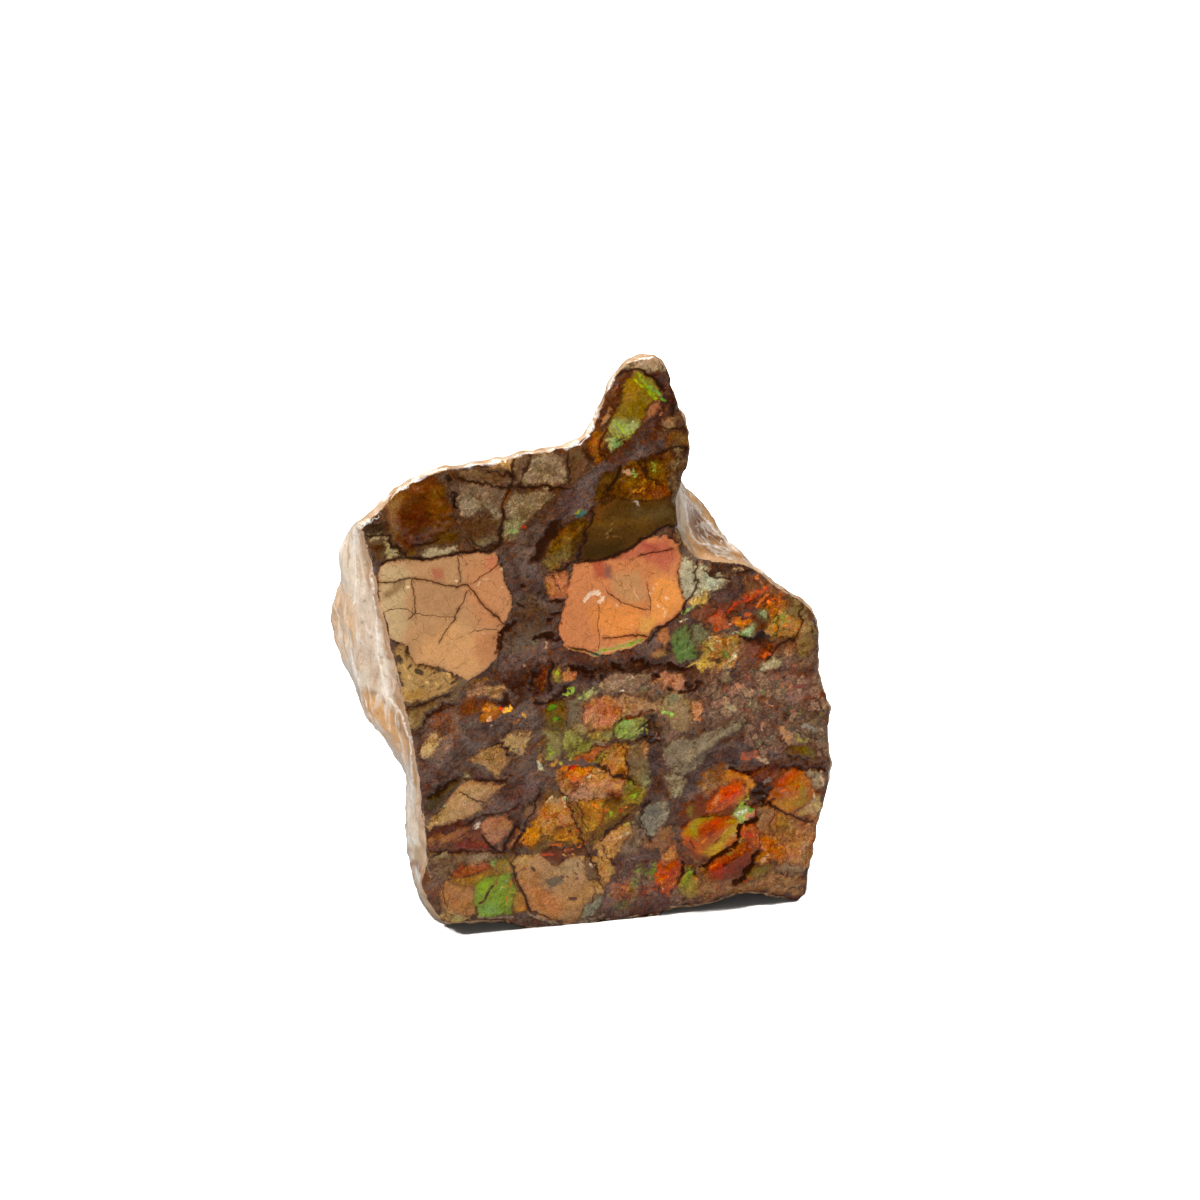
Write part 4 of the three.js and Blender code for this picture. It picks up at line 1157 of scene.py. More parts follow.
stain_and_shade("54300a", "600,832 612,824 626,814", 4, 0.7, width=5)
stain_and_shade("3c2408", "604,797 616,795 624,799 612,805", 4, 0.8)
stain_and_shade("c47c10", "604,824 612,816 622,810", 2.5, 0.7, width=3)
stain_and_shade("442608", "596,838 604,828 610,824", 3, 0.7, width=3.4)
stain_and_shade("3c1c08", "550,832 562,829 576,828", 2, 0.7, width=2.6)
stain_and_shade("4c260a", "545,806 556,800 570,802", 2, 0.6, width=2.4)
stain_and_shade("b4540a", "588,822 600,812 612,806", 3, 0.7, width=4)
stain_and_shade("74760f", "626,800 638,796", 3, 0.7, width=5)
fleck("84961c", "611,812 612,817", 3.4)
fleck("a0a040", "600,806 603,802", 1.6)
fleck("c88a30", "590,804 594,802", 1.8)
fleck("c07020", "624,808 627,806", 1.8)
fleck("b85a10", "605,811 609,810", 2.8)
fleck("90841c", "622,815 627,814", 2.2)
shard("9c6c2c", "6e3a14", 0.5, "572,806 580,808 586,826 590,836 582,836 576,824")
fleck("b08c34", "584,826 587,830", 4)
fleck("9c9a5c", "566,798 570,800", 3.4)
fleck("d0c4a0", "566,797 568,798", 1.8)
shard("7a5a3a", "4e3014", 0.5, "525,846 545,840 580,842 582,848 560,850 540,850")
fleck("58443a", "556,759 568,762 582,763 596,765", 4.6)
fleck("5a463c", "598,766 610,771 622,778", 2)
for colour, text, width in (
        ("c84c10", "576,830 580,832", 2), ("d08a18", "556,838 566,840", 2.4),
        ("b83c0c", "600,826 606,828", 2), ("a83008", "560,822 566,824", 2),
        ("cc8c20", "584,828 588,832", 3), ("c86c14", "592,806 598,808", 3),
        ("d8a860", "552,812 558,806", 1.8), ("e0c8a0", "548,802 554,798", 1.6),
        ("d8c0a0", "562,800 566,806", 1.4), ("5c2c10", "546,822 552,818 560,820", 1.6),
        ("3c1c0c", "566,836 572,828", 1.8), ("c03810", "618,812 624,806", 1.8),
        ("2c1406", "548,848 566,849 584,846", 2), ("b85410", "545,846 560,845", 1.8)):
    fleck(colour, text, width)
crack("560,790 568,796 569,806 573,818 580,832 584,846 592,862 598,874 602,886", 1.1)
crack("575,802 580,812 585,824 589,834", 0.8)
crack("632,812 624,820 612,830 603,842", 1.6)
shard("b07844", "8e5c38", 0.4, "604,842 614,833 628,828 626,838 620,850 612,862 603,856 600,848")
stain_and_shade("b57a44", "602,852 610,858", 4, 0.6, width=6)
fleck("cfc0a4", "622,837 625,834", 1.6)
fleck("a8963c", "629,823 633,821", 3.4)
crack("605,848 612,856 617,864", 1)
shard("a9793f", "9a5a34", 0.45, "592,862 602,858 612,864 616,872 606,880 600,874 596,868")
stain_and_shade("b0503c", "601,868 606,866", 3, 0.6, width=4)
stain_and_shade("96984c", "610,866 614,870", 2, 0.6, width=3)
shard("7a5a40", "5c3e2a", 0.5, "586,862 591,860 594,872 596,880 590,878")
fleck("d8bc9c", "591,866 592,868", 3)
shard("8e6e54", "64483a", 0.5, "626,842 640,826 642,842 634,852 624,856")

bed("8a5a3c", "6a4634", 0.4, "620,880 650,862 662,866 660,896 630,906 612,904", 6)
bed("644840", "7c5240", 0.35, "600,880 640,852 662,862 670,890 720,884 800,880 800,900 690,906 600,918", 6)
rubble("616,866 660,866 660,905 600,912", 0.45)
bed("9a5028", "6a3018", 0.45, "612,886 624,880 640,888 632,900 614,900", 4)
bed("6e6a34", "5c4c30", 0.4, "640,868 654,878", 3, width=7)
bed("8a3c1c", "5a2412", 0.4, "644,892 656,886", 3, width=6)
for colour, text, width in (
        ("b86a34", "622,890 628,887", 2.4), ("7c8c3c", "634,872 640,868", 2.4),
        ("a8441c", "648,890 654,888", 2), ("a07c4c", "608,896 614,892", 2)):
    fleck(colour, text, width)
for colour, text, width in (
        ("7a7c34", "632,886 638,880", 7), ("8c4a24", "626,896 636,894", 7),
        ("7a8c44", "650,874 656,868", 6), ("86783a", "618,906 630,904", 5)):
    bed(colour, "5c4030", 0.4, text, 4, width=width)


# ---- Breccia ------------------------------------------------------------------------------------
# Right of the middle the shell was ground to rubble and set again in clay, with a few larger chips.

bed("604638", "7c5844", 0.4, "690,668 822,668 832,760 760,765 700,790 690,800 650,800 664,740 690,700", 7)
rubble("700,672 822,672 832,755 760,762 740,720 700,720", 0.85)
rubble("655,690 700,690 700,720 664,735 655,720", 0.6)
bed("4a3834", "5c4438", 0.35, "728,672 740,690 750,704 766,716", 3, width=9)
bed("8c6252", "6a4438", 0.5, "770,676 822,672 824,698 784,702", 4)
bed("5a4a38", "6e5a44", 0.4, "782,706 828,704 832,738 786,742", 5)
bed("584640", "4a3832", 0.3, "700,752 745,740 790,756 760,766 730,768 700,800 690,820 676,810 690,780", 6)
for colour, text, width in (
        ("b48a64", "725,700 727,702", 6), ("a08a68", "730,704 732,710", 6),
        ("c09070", "751,687 753,689", 3), ("b27a5a", "736,686 744,682", 3),
        ("a06a4c", "785,684 792,686", 8), ("7c3c34", "796,686 804,684", 4),
        ("a4744e", "784,730 790,740", 8), ("7c7060", "806,727 814,730", 6),
        ("8c7c34", "801,738 805,741", 4), ("a4543a", "744,756 756,753", 7),
        ("b08c68", "761,757 765,763", 4), ("b89878", "748,701 750,704", 2),
        ("9c8458", "722,668 726,672", 4), ("a8785a", "766,700 772,706", 2),
        ("9a6c50", "760,724 762,732", 3)):
    fleck(colour, text, width)
fleck("4c240c", "776,738 783,740", 4)
shard("7a4a0c", "4a2a0c", 0.5, "782,754 790,747 804,746 816,752 818,757 806,757 794,758")
stain_and_shade("95741c", "800,748 806,748", 2, 0.8, width=3)
stain_and_shade("8a9058", "808,750 814,754", 3, 0.8, width=4)
rift("784,754 792,758 806,758", 3, 0.4)
rift("728,766 738,770 748,771 758,768 768,764", 5, 0.7)
rift("778,764 800,768 822,768", 7, 0.5)
bed("4a240c", "30170a", 0.4, "735,766 775,760 822,760 822,772 790,774 775,776 760,800 745,798 745,776", 4)
fleck("6e5a50", "764,786 771,778", 2.4)
fleck("6a5450", "761,797 768,796", 2.4)
shard("9c8468", "7e6650", 0.5, "808,773 822,772 822,786 812,784")


# ---- Ember lobes --------------------------------------------------------------------------------
# Lower right, four swollen pieces of shell stand out of the face. They glow red and orange inside a
# gold or green edge, with black gaps between, and painted shade darkens their lower edges.

packed("684,806 720,780 770,766 816,766 822,812 812,872 720,896 664,896 660,850 684,830", 3.5)
bed("7c3c10", "4a200c", 0.4, "682,806 705,788 745,768 822,772 816,860 790,880 700,886 680,850", 6)
bed("96683f", "7a5036", 0.35, "700,786 706,772 722,762 732,770 726,784 708,792", 4)
glow(0.9, "690,800 745,764 816,766 812,860 700,880 684,850")
shard("a85a1c", "8a4210", 0.4, "724,772 732,767 744,776 752,786 748,796 744,790 738,780 730,782")
stain_and_shade("c0682c", "744,780 750,792", 3, 0.8, width=4)
stain_and_shade("6c7c10", "746,794 750,800", 3, 0.8, width=5)
shard("8a4a0c", "6a300a", 0.5, "700,816 712,813 724,811 736,803 738,808 732,814 716,818 702,819")
rift("700,866 710,860 722,852 734,845 737,836 738,824 746,822 757,817", 9, 1.0)
rift("757,817 760,808 762,800 769,789", 6, 0.7)
bed("341a0c", "5a4034", 0.4, "750,784 768,782 776,794 770,806 756,806 748,796", 3)
rift("750,789 758,794 766,791 774,786", 4, 0.6)
rift("752,804 760,799 768,803 774,800", 4, 0.6)
rift("732,884 744,874 752,862 758,848", 8, 0.8)
rift("676,884 681,872 683,862", 6, 0.6)
shard("bc4004", "a82c04", 0.4,
    "704,815 707,806 713,801 722,792 730,786 737,781 743,785 745,793 742,799 735,804 728,809 716,813", 0.6)
stain_and_shade("c83c04", "722,792 738,784 742,794 726,802", 5, 0.7)
stain_and_shade("b8580c", "706,812 722,808 734,801", 3, 0.8, width=4)
stain_and_shade("b4741c", "736,801 744,796", 2, 0.8, width=3)
stain_and_shade("868018", "740,802 748,794", 2, 0.8, width=3)
stain_and_shade("c42c04", "720,795 733,787 740,790 734,800 723,804", 4, 0.8)
# Painted shade along the lower edge of this lobe.
stain_and_shade("7c1c04", "706,815 716,808 726,800", 2.5, 0.7, width=3)
fleck("b87048", "714,803 719,796", 4)
fleck("93a838", "740,806 748,800", 3)
shard("7c2e08", "5c1c06", 0.5, "688,806 700,798 706,806 702,818 690,818 684,814")
stain_and_shade("7c7c18", "689,808 690,816", 3, 0.8, width=4)
shard("b84804", "842a04", 0.45,
    "688,848 684,838 684,830 690,824 696,818 706,815 716,816 730,814 736,820 736,832 730,840 720,846"
    " 712,855 705,859 697,857")
# Painted shade along the lobe's lower edge.
stain_and_shade("6c2004", "686,844 692,856 702,860 716,854", 3, 0.8, width=4)
stain_and_shade("c8960a", "706,853 720,843 733,828 735,820", 3, 1.0, width=7)
stain_and_shade("b85c0a", "700,854 708,844 714,836", 4, 0.8, width=5)
stain_and_shade("7c8418", "697,838 695,828 700,821", 2.5, 0.8, width=4)
stain_and_shade("a83604", "698,826 716,820 716,832 702,842", 5, 0.8)
stain_and_shade("64901c", "692,836 694,826 702,820 712,818", 2.5, 0.8, width=3)
stain_and_shade("9c8c1c", "686,832 692,824 700,819", 2.5, 0.8, width=4)
stain_and_shade("d05c14", "692,846 700,854", 4, 0.7, width=6)
stain_and_shade("902004", "698,830 708,822 718,826 712,840 700,842", 5, 0.7)
# Painted shade along the lobe's lower edge.
stain_and_shade("4c1a06", "688,846 698,858 712,856 724,848", 2.5, 0.85, width=4)
fleck("c8996c", "732,834 735,829", 2.4)
shard("a4b05c", "c0b068", 0.4, "733,812 738,807 746,810 744,817 738,819")
fleck("d8d8b0", "738,814 744,811", 3.4)
fleck("46a014", "748,809 751,809", 3.2)
fleck("cc7a58", "746,816 751,811", 4)
shard("963004", "581804", 0.4,
    "703,872 712,860 722,853 735,846 745,840 752,846 750,855 743,865 735,872 727,878 715,880 706,884"
    " 700,880")
stain_and_shade("b86c10", "716,856 730,849 742,843", 3, 0.85, width=5)
stain_and_shade("a01c04", "712,864 726,864 722,876 712,876", 4, 0.8)
# Painted shade along the lobe's lower edge.
stain_and_shade("4c1804", "706,883 722,882 737,873 750,859", 3, 0.8, width=5)
stain_and_shade("8c5010", "703,876 712,882", 3, 0.7, width=6)
stain_and_shade("742404", "724,864 738,854 747,850 744,860 730,872", 4, 0.7)
stain_and_shade("b4480a", "708,868 716,860 724,856", 3, 0.8, width=4)
stain_and_shade("7c6410", "722,852 732,847", 2, 0.8, width=2.4)
# The two 5c1c04 flecks are painted shade by the lobes' edges.
for colour, text, width in (
        ("d05c14", "710,868 716,864", 2), ("4c1404", "722,866 728,864", 2),
        ("c02404", "716,874 722,871", 2.4), ("5c1c04", "732,860 738,856", 2),
        ("c86814", "740,852 745,849", 1.8), ("7c8418", "728,855 731,853", 1.8),
        ("6c2404", "700,834 704,830", 2.4), ("7c2804", "708,836 714,830", 2),
        ("d87c18", "702,842 708,838", 2), ("c02c04", "710,826 718,822", 2.4),
        ("5c1c04", "690,842 694,848", 2), ("d8a040", "722,836 728,830", 1.6),
        ("8c3008", "714,844 720,838", 2), ("a8a028", "724,824 730,820", 1.8),
        ("6c1c04", "724,796 729,792", 2), ("d8500c", "732,790 738,788", 2),
        ("d8601c", "780,792 786,790", 2), ("5c2408", "788,784 794,780", 2),
        ("a02804", "796,790 800,786", 2.4), ("d08a30", "790,800 798,797", 1.8)):
    fleck(colour, text, width)
shard("b04008", "8c2804", 0.45, "741,838 742,828 748,824 757,832 760,838 755,844 746,842")
fleck("c83c14", "744,834 752,836", 3.4)
fleck("94981c", "739,840 741,836", 2.6)
fleck("de8a4a", "752,834 758,838", 2)
shard("b0560c", "803408", 0.45,
    "769,800 770,795 778,788 785,780 790,772 797,770 803,775 810,780 814,790 812,800 803,805 795,808"
    " 785,810 775,805")
stain_and_shade("bb7c14", "770,798 784,800 800,798 804,804 788,810 774,806", 4, 0.8)
stain_and_shade("c07844", "800,776 810,782 810,792 800,788", 4, 0.6)
stain_and_shade("a8806c", "781,790 786,794", 3, 0.6, width=5)
stain_and_shade("b03c0c", "780,780 792,774", 4, 0.8, width=6)
stain_and_shade("702808", "771,797 779,786 788,786 784,797 775,803", 4, 0.6)
stain_and_shade("c03008", "778,785 786,778 796,773", 2, 0.9, width=3)
stain_and_shade("8c8414", "800,786 806,798 798,806", 3, 0.7, width=5)
stain_and_shade("6c2408", "770,796 776,788 786,778", 2, 0.5, width=3)
shard("bc5408", "84300a", 0.45, "760,836 768,833 778,839 784,850 786,858 780,864 772,858 764,846")
stain_and_shade("c8682c", "766,838 776,844 784,856", 3, 0.6, width=4)
fleck("d0925c", "761,842 768,852", 1.6)
shard("a85a14", "8c4c20", 0.45, "754,862 762,852 770,850 772,858 762,864")
fleck("c8946c", "762,860 768,856", 2.6)
shard("7c5c1c", "5c3810", 0.5, "742,876 756,866 776,862 770,872 752,880")
stain_and_shade("8a7a2c", "757,870 766,868", 3, 0.7, width=4)
shard("a06038", "865232", 0.35,
    "776,812 800,820 815,812 818,820 812,860 802,870 790,866 786,846 776,836 770,826")
stain_and_shade("8e5a14", "776,814 792,818 792,840 778,834", 6, 0.75)
shard("8c5c38", "a06a3c", 0.4, "760,806 768,806 780,816 770,824 774,836 762,832 758,822")
shard("a88050", "8e603a", 0.4, "806,806 816,796 820,806 816,816 800,816")
crack("768,803 780,810 795,818 812,822", 1.8)
shard("98603a", "805438", 0.5,
    "700,886 726,882 745,884 770,874 800,868 806,880 800,896 768,893 748,891 725,894 706,902")
stain_and_shade("a86c3c", "704,888 718,886", 4, 0.5, width=5)
fleck("b07850", "770,877 784,874", 2)
for colour, text, width in (
        ("a8784c", "756,884 772,880 788,878", 2), ("9c6c44", "728,888 744,889", 2),
        ("b08c68", "776,888 796,884", 1.6), ("a0481c", "742,880 752,878", 2),
        ("2c180e", "788,887 800,886", 3), ("b49878", "806,842 803,858 801,872", 1.6),
        ("c8b090", "815,792 811,808 808,824", 1.4), ("b89878", "818,770 820,784", 3)):
    fleck(colour, text, width)
shard("907058", "6c5240", 0.45, "780,866 800,860 804,876 790,884 780,878")
shard("ac3404", "801c04", 0.4,
    "660,865 665,861 676,861 679,866 676,874 672,882 670,893 664,893 660,885 657,875")
stain_and_shade("6c3008", "662,864 676,863", 2, 0.8, width=4)
stain_and_shade("c83806", "664,878 670,876", 4, 0.6, width=6)
fleck("dca890", "664,888 666,890", 1.6)
shard("b46c3c", "b0503c", 0.4, "663,852 672,848 674,857 666,860")
stain_and_shade("c89060", "665,857 669,858", 2, 0.7, width=3)
shard("8e6c2c", "80502c", 0.45,
    "681,885 684,877 688,868 692,872 697,880 700,888 700,895 692,898 684,896 680,890")
stain_and_shade("8ca018", "686,868 688,876 686,884", 3, 0.9, width=5)
stain_and_shade("b8641c", "696,878 700,888 698,896", 2, 0.7, width=3)
fleck("7ca428", "688,873 690,869", 2.6)
fleck("d0742c", "692,877 695,881", 2.4)
hollow("691,867 694,868 697,874 694,878 691,872", 0.5, 1.5)
shard("84502c", "6c3c20", 0.45, "697,864 704,862 708,870 702,884 696,876")
shard("7a5648", "64463a", 0.4, "672,890 680,890 686,898 700,898 700,904 680,906 672,902")
lobe(0.8, "706,812 715,796 729,785 741,782 744,794 734,807")
lobe(1.0, "686,842 690,826 705,816 736,818 735,834 718,848 701,858")
lobe(0.9, "702,876 712,862 732,849 749,843 752,856 736,872 720,881")
lobe(0.8, "770,802 778,788 794,772 812,784 812,800 790,810")
lobe(0.8, "758,860 764,840 779,841 788,860 778,870 766,868")
lobe(0.6, "660,890 659,868 677,862 672,884")
lobe(0.5, "384,522 388,502 412,483 436,479 450,500 452,522 412,546")
lobe(0.5, "428,828 450,798 474,783 502,786 482,808 452,822")
lobe(0.4, "484,838 484,820 502,817 513,828 498,843")
lobe(0.4, "472,764 482,752 500,744 510,758 502,776 486,770")
lobe(0.5, "566,780 574,768 598,769 624,781 604,790 582,786")


# ---- Sides --------------------------------------------------------------------------------------
# The sides are bare rock, beige and tan. A tan bevel runs down the left edge of the face, an orange
# lump swells low on the left, and the notch on the right is a brown scoop.

wash("dcc8b0", "340,500 380,470 400,600 425,760 440,915 400,900 385,760 325,700 325,560", 8)
wash("d9b084", "345,596 350,612 354,640", 6, 0.8, width=10)
wash("cfac84", "362,620 368,660 372,680", 6, 0.6, width=8)
wash("d2bca4", "370,590 374,640 386,700", 5, 0.8, width=9)
wash("dba877", "372,704 384,694 398,722 404,760 396,764 384,740", 5, 0.9)
wash("c98f58", "350,690 362,712 376,740", 4, 0.8, width=6)
wash("c98f58", "330,610 334,640 342,668", 4, 0.7, width=5)
wash("9c8068", "386,704 394,716 400,728", 3, 0.7, width=4)
wash("dec8ae", "402,770 420,766 424,842 410,846 404,800", 5)
wash("e8d8c2", "407,842 412,868", 4, width=8)
wash("b4946e", "418,850 424,880", 4, width=9)
for colour, text, width in (
        ("b0601c", "403,842 409,852", 6), ("964a14", "409,856 413,868", 5),
        ("f4ecdf", "406,836 416,842", 4), ("f2e8d8", "408,852 410,860", 4),
        ("5c3418", "406,852 409,860", 4), ("f0e6d8", "414,868 418,876", 4),
        ("f6f0e6", "412,782 413,800", 3), ("8a5428", "416,862 422,876", 5),
        ("d8c8b4", "420,884 430,900", 4)):
    wash(colour, text, 2, 0.9, width=width)
wash("96785a", "424,880 438,912", 4, width=8)
wash("dcb080", "332,588 344,584 352,600 350,640 344,664 334,630", 4, 0.7)
wash("c8b09a", "356,600 366,600 378,660 384,688 370,684 358,660", 5, 0.7)
wash("a8784a", "361,532 372,580 387,647 400,713 410,755 420,800", 3, 0.95, width=7)
wash("d6a064", "357,690 372,690 388,704 400,730 408,758 403,762 390,745 374,735 362,712", 4, 0.95)
wash("8c6c50", "366,688 380,695 393,713 401,730", 3, 0.85, width=4)
# Painted highlights: white glints down the left wall and its bevel.
for text, width in (
        ("371,568 375,610 379,660 386,692 401,716 410,744 412,790", 1.7),
        ("354,540 356,580 354,604", 1.4), ("347,625 352,655 357,684", 1.6), ("336,606 340,640", 1.2),
        ("364,700 372,724 382,736", 1.4)):
    glint(text, width)
wash("cca074", "684,484 706,490 742,540 764,574 700,562 684,540", 5)
wash("bc9060", "688,486 704,494 724,524 730,540 712,524 694,504", 4)
wash("7e5432", "687,504 698,510 713,527 729,544 712,542 696,538 689,524", 4)
wash("a4764a", "694,545 716,546 738,552 752,562 720,558 698,554", 4)
# Painted highlights on the ridges of the notch.
for text, width in (
        ("684,494 694,506 709,523 728,543 744,555 764,573", 2.6),
        ("685,502 687,520 691,535 697,543 714,547 738,551", 1.8)):
    glint(text, width)
wash("a88862", "806,660 836,660 836,850 806,850", 6)


# ---- Relief -------------------------------------------------------------------------------------
# Grinding left the shell a little proud of the clay. Lobes stand out, pits and cracks sink, the edge
# is rounded over and chipped, and the broken walls keep their lumps.

EDGE_ROUND = 1.6  # the edge rounds over within this distance
CLAY_DROP = 0.06  # the clay lies this far below the shell
CRACK_DROP = 0.04
CRACK_SIDE = 0.22  # a crack's groove reaches this far to each side
# A hollow's darkness is painted shade.
HOLLOW_SHARE = 0.4  # so much of a hollow's drawn depth is relief, the rest is only dark
LOBE_SHARE = 0.75
WALL_SMOOTHING = 6  # passes that take the facets off the walls
WORN = 0.35  # share of the walls' lumps that the rim keeps
CHIPPING = 0.3

edge_ends = np.empty(2 * len(stone.data.edges), np.int32)
stone.data.edges.foreach_get("vertices", edge_ends)
first_end, last_end = edge_ends.reshape(-1, 2).T
links = np.bincount(edge_ends, minlength=count)


def bled(values, share, passes):
    """Values that have run into those of the points beside them."""
    for _ in range(passes):
        total = np.zeros_like(values)
        np.add.at(total, first_end, values[last_end])
        np.add.at(total, last_end, values[first_end])
        values = values + share * (total / links[:, None] - values)
    return values


# Crushed shell bleeds into its neighbours, whole pieces keep their colours. Sizes turn to millimetres.
shell_play *= 0.62 + 0.38 * step(0.9, 1.5, wild)
bleeding = 0.8 * step(0.25, 0.55, shell_play)[:, None]
shell_ground = bled(shell_ground, bleeding, 3)
shell_mottle = bled(shell_mottle, bleeding, 3)
shell_reach += shell_growth
next_reach += shell_growth
seam_share = step(-2, 1, next_reach)
seam_reach = (shell_reach - next_reach) * np.where(shell_number < next_number, 0.5, -0.5) * SHEET_MM
glint_width *= SHEET_MM * np.where(on_face, 1, side_seen)
for drawn_size in (crack_reach, crack_width, glint_reach, shell_reach, fleck_reach):
    drawn_size *= SHEET_MM


def to_rim(places):
    """Distance to the nearest edge of the face's rim."""
    nearest = np.full(len(places), np.inf)
    for start, end in rim_lines:
        along = end - start
        off = places - start
        share = np.clip(off @ along / (along @ along), 0, 1)
        nearest = np.minimum(nearest, np.linalg.norm(off - share[:, None] * along, axis=1))
    return nearest


def face_relief(places, chosen):
    """How deep the chosen points of the face lie behind its plane."""
    edge = to_rim(places)
    calm = step(0, 2 * EDGE_ROUND, edge)
    inner = step(0.2, EDGE_ROUND, edge)
    depth = EDGE_DROP * (1 - np.clip(edge / EDGE_ROUND, 0, 1)) ** 2
    depth += calm * (0.3 * ripples(places, 9, 0.5) + 0.06 * ripples(places, 2.6, 4.5))
    clay = 1 - step(-0.3, 0.25, shell_reach[chosen])
    rough = 0.08 * ripples(places, 1.1, 8.1)
    depth += inner * clay * (CLAY_DROP + rough + 0.04 * ripples(places, 0.5, 2.2))
    sunk = HOLLOW_SHARE * hollow_depth[chosen]
    lump = LOBE_SHARE * lobe_height[chosen] * (1 - step(0.05, 0.3, sunk))
    depth += inner * (sunk - lump)
    groove = 1 - np.clip(np.abs(crack_reach[chosen]) / CRACK_SIDE, 0, 1)
    depth += inner * CRACK_DROP * groove * (crack_width[chosen] > 0)
    return depth


edit_part(False)
bpy.ops.mesh.vertices_smooth(factor=0.5, repeat=WALL_SMOOTHING)
done_editing()

points = points_of(stone.data)
chosen = np.flatnonzero(on_face)
as_cut = points[chosen]
flat = as_cut - depth_of(as_cut)[:, None] * face_in
edge_blend = step(0, 0.6, to_rim(as_cut))[:, None]
points[chosen] = as_cut + edge_blend * (flat + face_relief(as_cut, chosen)[:, None] * face_in - as_cut)

normals = np.array([vertex.normal for vertex in stone.data.vertices])
lumps = 0.24 * ripples(points, 1.6, 0.0) + 0.14 * ripples(points, 0.7, 5.0)
by_rim = WORN * (1 - step(0, 0.9, to_rim(points)))
on_wall = WORN + (1 - WORN) * step(RIM_DEPTH, 5, depth_of(points))
points += (np.where(on_face, by_rim, on_wall) * lumps)[:, None] * normals
chipped = np.stack([ripples(points, 1.3, layer) for layer in (31.0, 41.0, 51.0)], axis=1)
near_rim = np.where(on_face, 1 - step(0, 1.2, to_rim(points)), 1 - step(1, 3, depth_of(points)))
points += CHIPPING * near_rim[:, None] * chipped
low, high = (np.array(corner) / MM for corner in cad_box)
points = np.clip(points, low, high)
points[on_foot, 2] = 0
set_points(stone.data, points)
stone.data.polygons.foreach_set("use_smooth", np.ones(len(stone.data.polygons), bool))


# ---- Lacquered stone, the material --------------------------------------------------------------
# Shell, clay and rock lie under one coat of clear lacquer. The points carry the colours as drawn;
# the nodes add ragged edges, mottling, streaks, hair lines and grit that are finer than the points.

LACQUER_ROUGHNESS = 0.07
LACQUER_INDEX = 1.5
STONE_ROUGHNESS = 0.42
GRAIN_HEIGHT = 0.12 * MM
LACQUER_HEIGHT = 0.08 * MM
BESIDE_SHELL = (0.42, 0.26, 0.16)  # how much of each light the shadows by the drawn shapes let through
IN_A_SEAM = (0.5, 0.3, 0.16)
BY_A_CRACK = (0.5, 0.32, 0.2)
IN_A_PIT = (0.45, 0.24, 0.12)
MIX_FIRST, MIX_SECOND, MIX_RESULT = 6, 7, 2  # a Mix node's sockets for colours


def keep(name, values):
    """Stores numbers or colours on the points of the stone."""
    if values.ndim == 1:
        layer = stone.data.attributes.new(name, "FLOAT", "POINT")
        layer.data.foreach_set("value", values.astype(np.float32))
    else:
        layer = stone.data.attributes.new(name, "FLOAT_COLOR", "POINT")
        rgba = np.hstack([values, np.ones((len(values), 1))])
        layer.data.foreach_set("color", rgba.astype(np.float32).ravel())


for name, values in (
        ("polish", np.where(on_face, step(0.0, 0.25, to_rim(points)), 0.0)), ("behind", depth_of(points)),
        ("shell_ground", shell_ground), ("shell_mottle", shell_mottle), ("shell_share", shell_share),
        ("shell_reach", shell_reach), ("shell_play", shell_play), ("shell_fade", shell_fade),
        ("vein_ground", vein_ground), ("vein_mottle", vein_mottle), ("vein_share", vein_share),
        ("vein_warmth", vein_warmth), ("rubble_share", rubble_share),
        ("fleck_tint", fleck_tint), ("fleck_reach", fleck_reach), ("crack_reach", crack_reach),
        ("crack_width", crack_width), ("hollow_depth", hollow_depth),
        ("glint_reach", glint_reach), ("glint_width", glint_width),
        ("seam_reach", seam_reach), ("seam_share", seam_share),
        ("rock_tint", rock_tint), ("rock_shown", rock_shown)):
    keep(name, values)

lacquered = bpy.data.materials.new("lacquered_ammolite")
lacquered.use_nodes = True
tree = lacquered.node_tree
tree.nodes.clear()


def put(value, socket):
    """Joins a node's result to a socket, or sets a number or colour on it."""
    if isinstance(value, bpy.types.NodeSocket):
        tree.links.new(value, socket)
    elif hasattr(value, "__len__") and socket.type == "RGBA":
        socket.default_value = (*value, 1)
    else:
        socket.default_value = value


def stored(name):
    """Numbers that the points carry."""
    made = tree.nodes.new("ShaderNodeAttribute")
    made.attribute_name = name
    return made.outputs["Fac"]


def stored_colour(name):
    made = tree.nodes.new("ShaderNodeAttribute")
    made.attribute_name = name
    return made.outputs["Color"]


def calc(operation, *values, clamp=False):
    made = tree.nodes.new("ShaderNodeMath")
    made.operation = operation
    made.use_clamp = clamp
    for value, socket in zip(values, made.inputs):
        put(value, socket)
    return made.outputs[0]


def product(*values):
    made = values[0]
    for value in values[1:]:
        made = calc("MULTIPLY", made, value)
    return made


def plus(first, second):
    return calc("ADD", first, second)


def rest_of(value):
    """What is left of one."""
    return calc("SUBTRACT", 1.0, value)


def between(value, low, high, to_low=0.0, to_high=1.0):
    """Turns low to high into to_low to to_high, smoothly, and goes no further."""
    made = tree.nodes.new("ShaderNodeMapRange")
    made.interpolation_type = "SMOOTHSTEP"
    for given, socket in zip((value, low, high, to_low, to_high), made.inputs):
        put(given, socket)
    return made.outputs[0]


def mixed(share, first, second, how="MIX"):
    """So much of the second colour over the first."""
    made = tree.nodes.new("ShaderNodeMix")
    made.data_type = "RGBA"
    made.blend_type = how
    put(share, made.inputs[0])
    put(first, made.inputs[MIX_FIRST])
    put(second, made.inputs[MIX_SECOND])
    return made.outputs[MIX_RESULT]


def shaded(share, colour, shade):
    """A colour darkened by so much of a shade."""
    return mixed(share, colour, shade, "MULTIPLY")


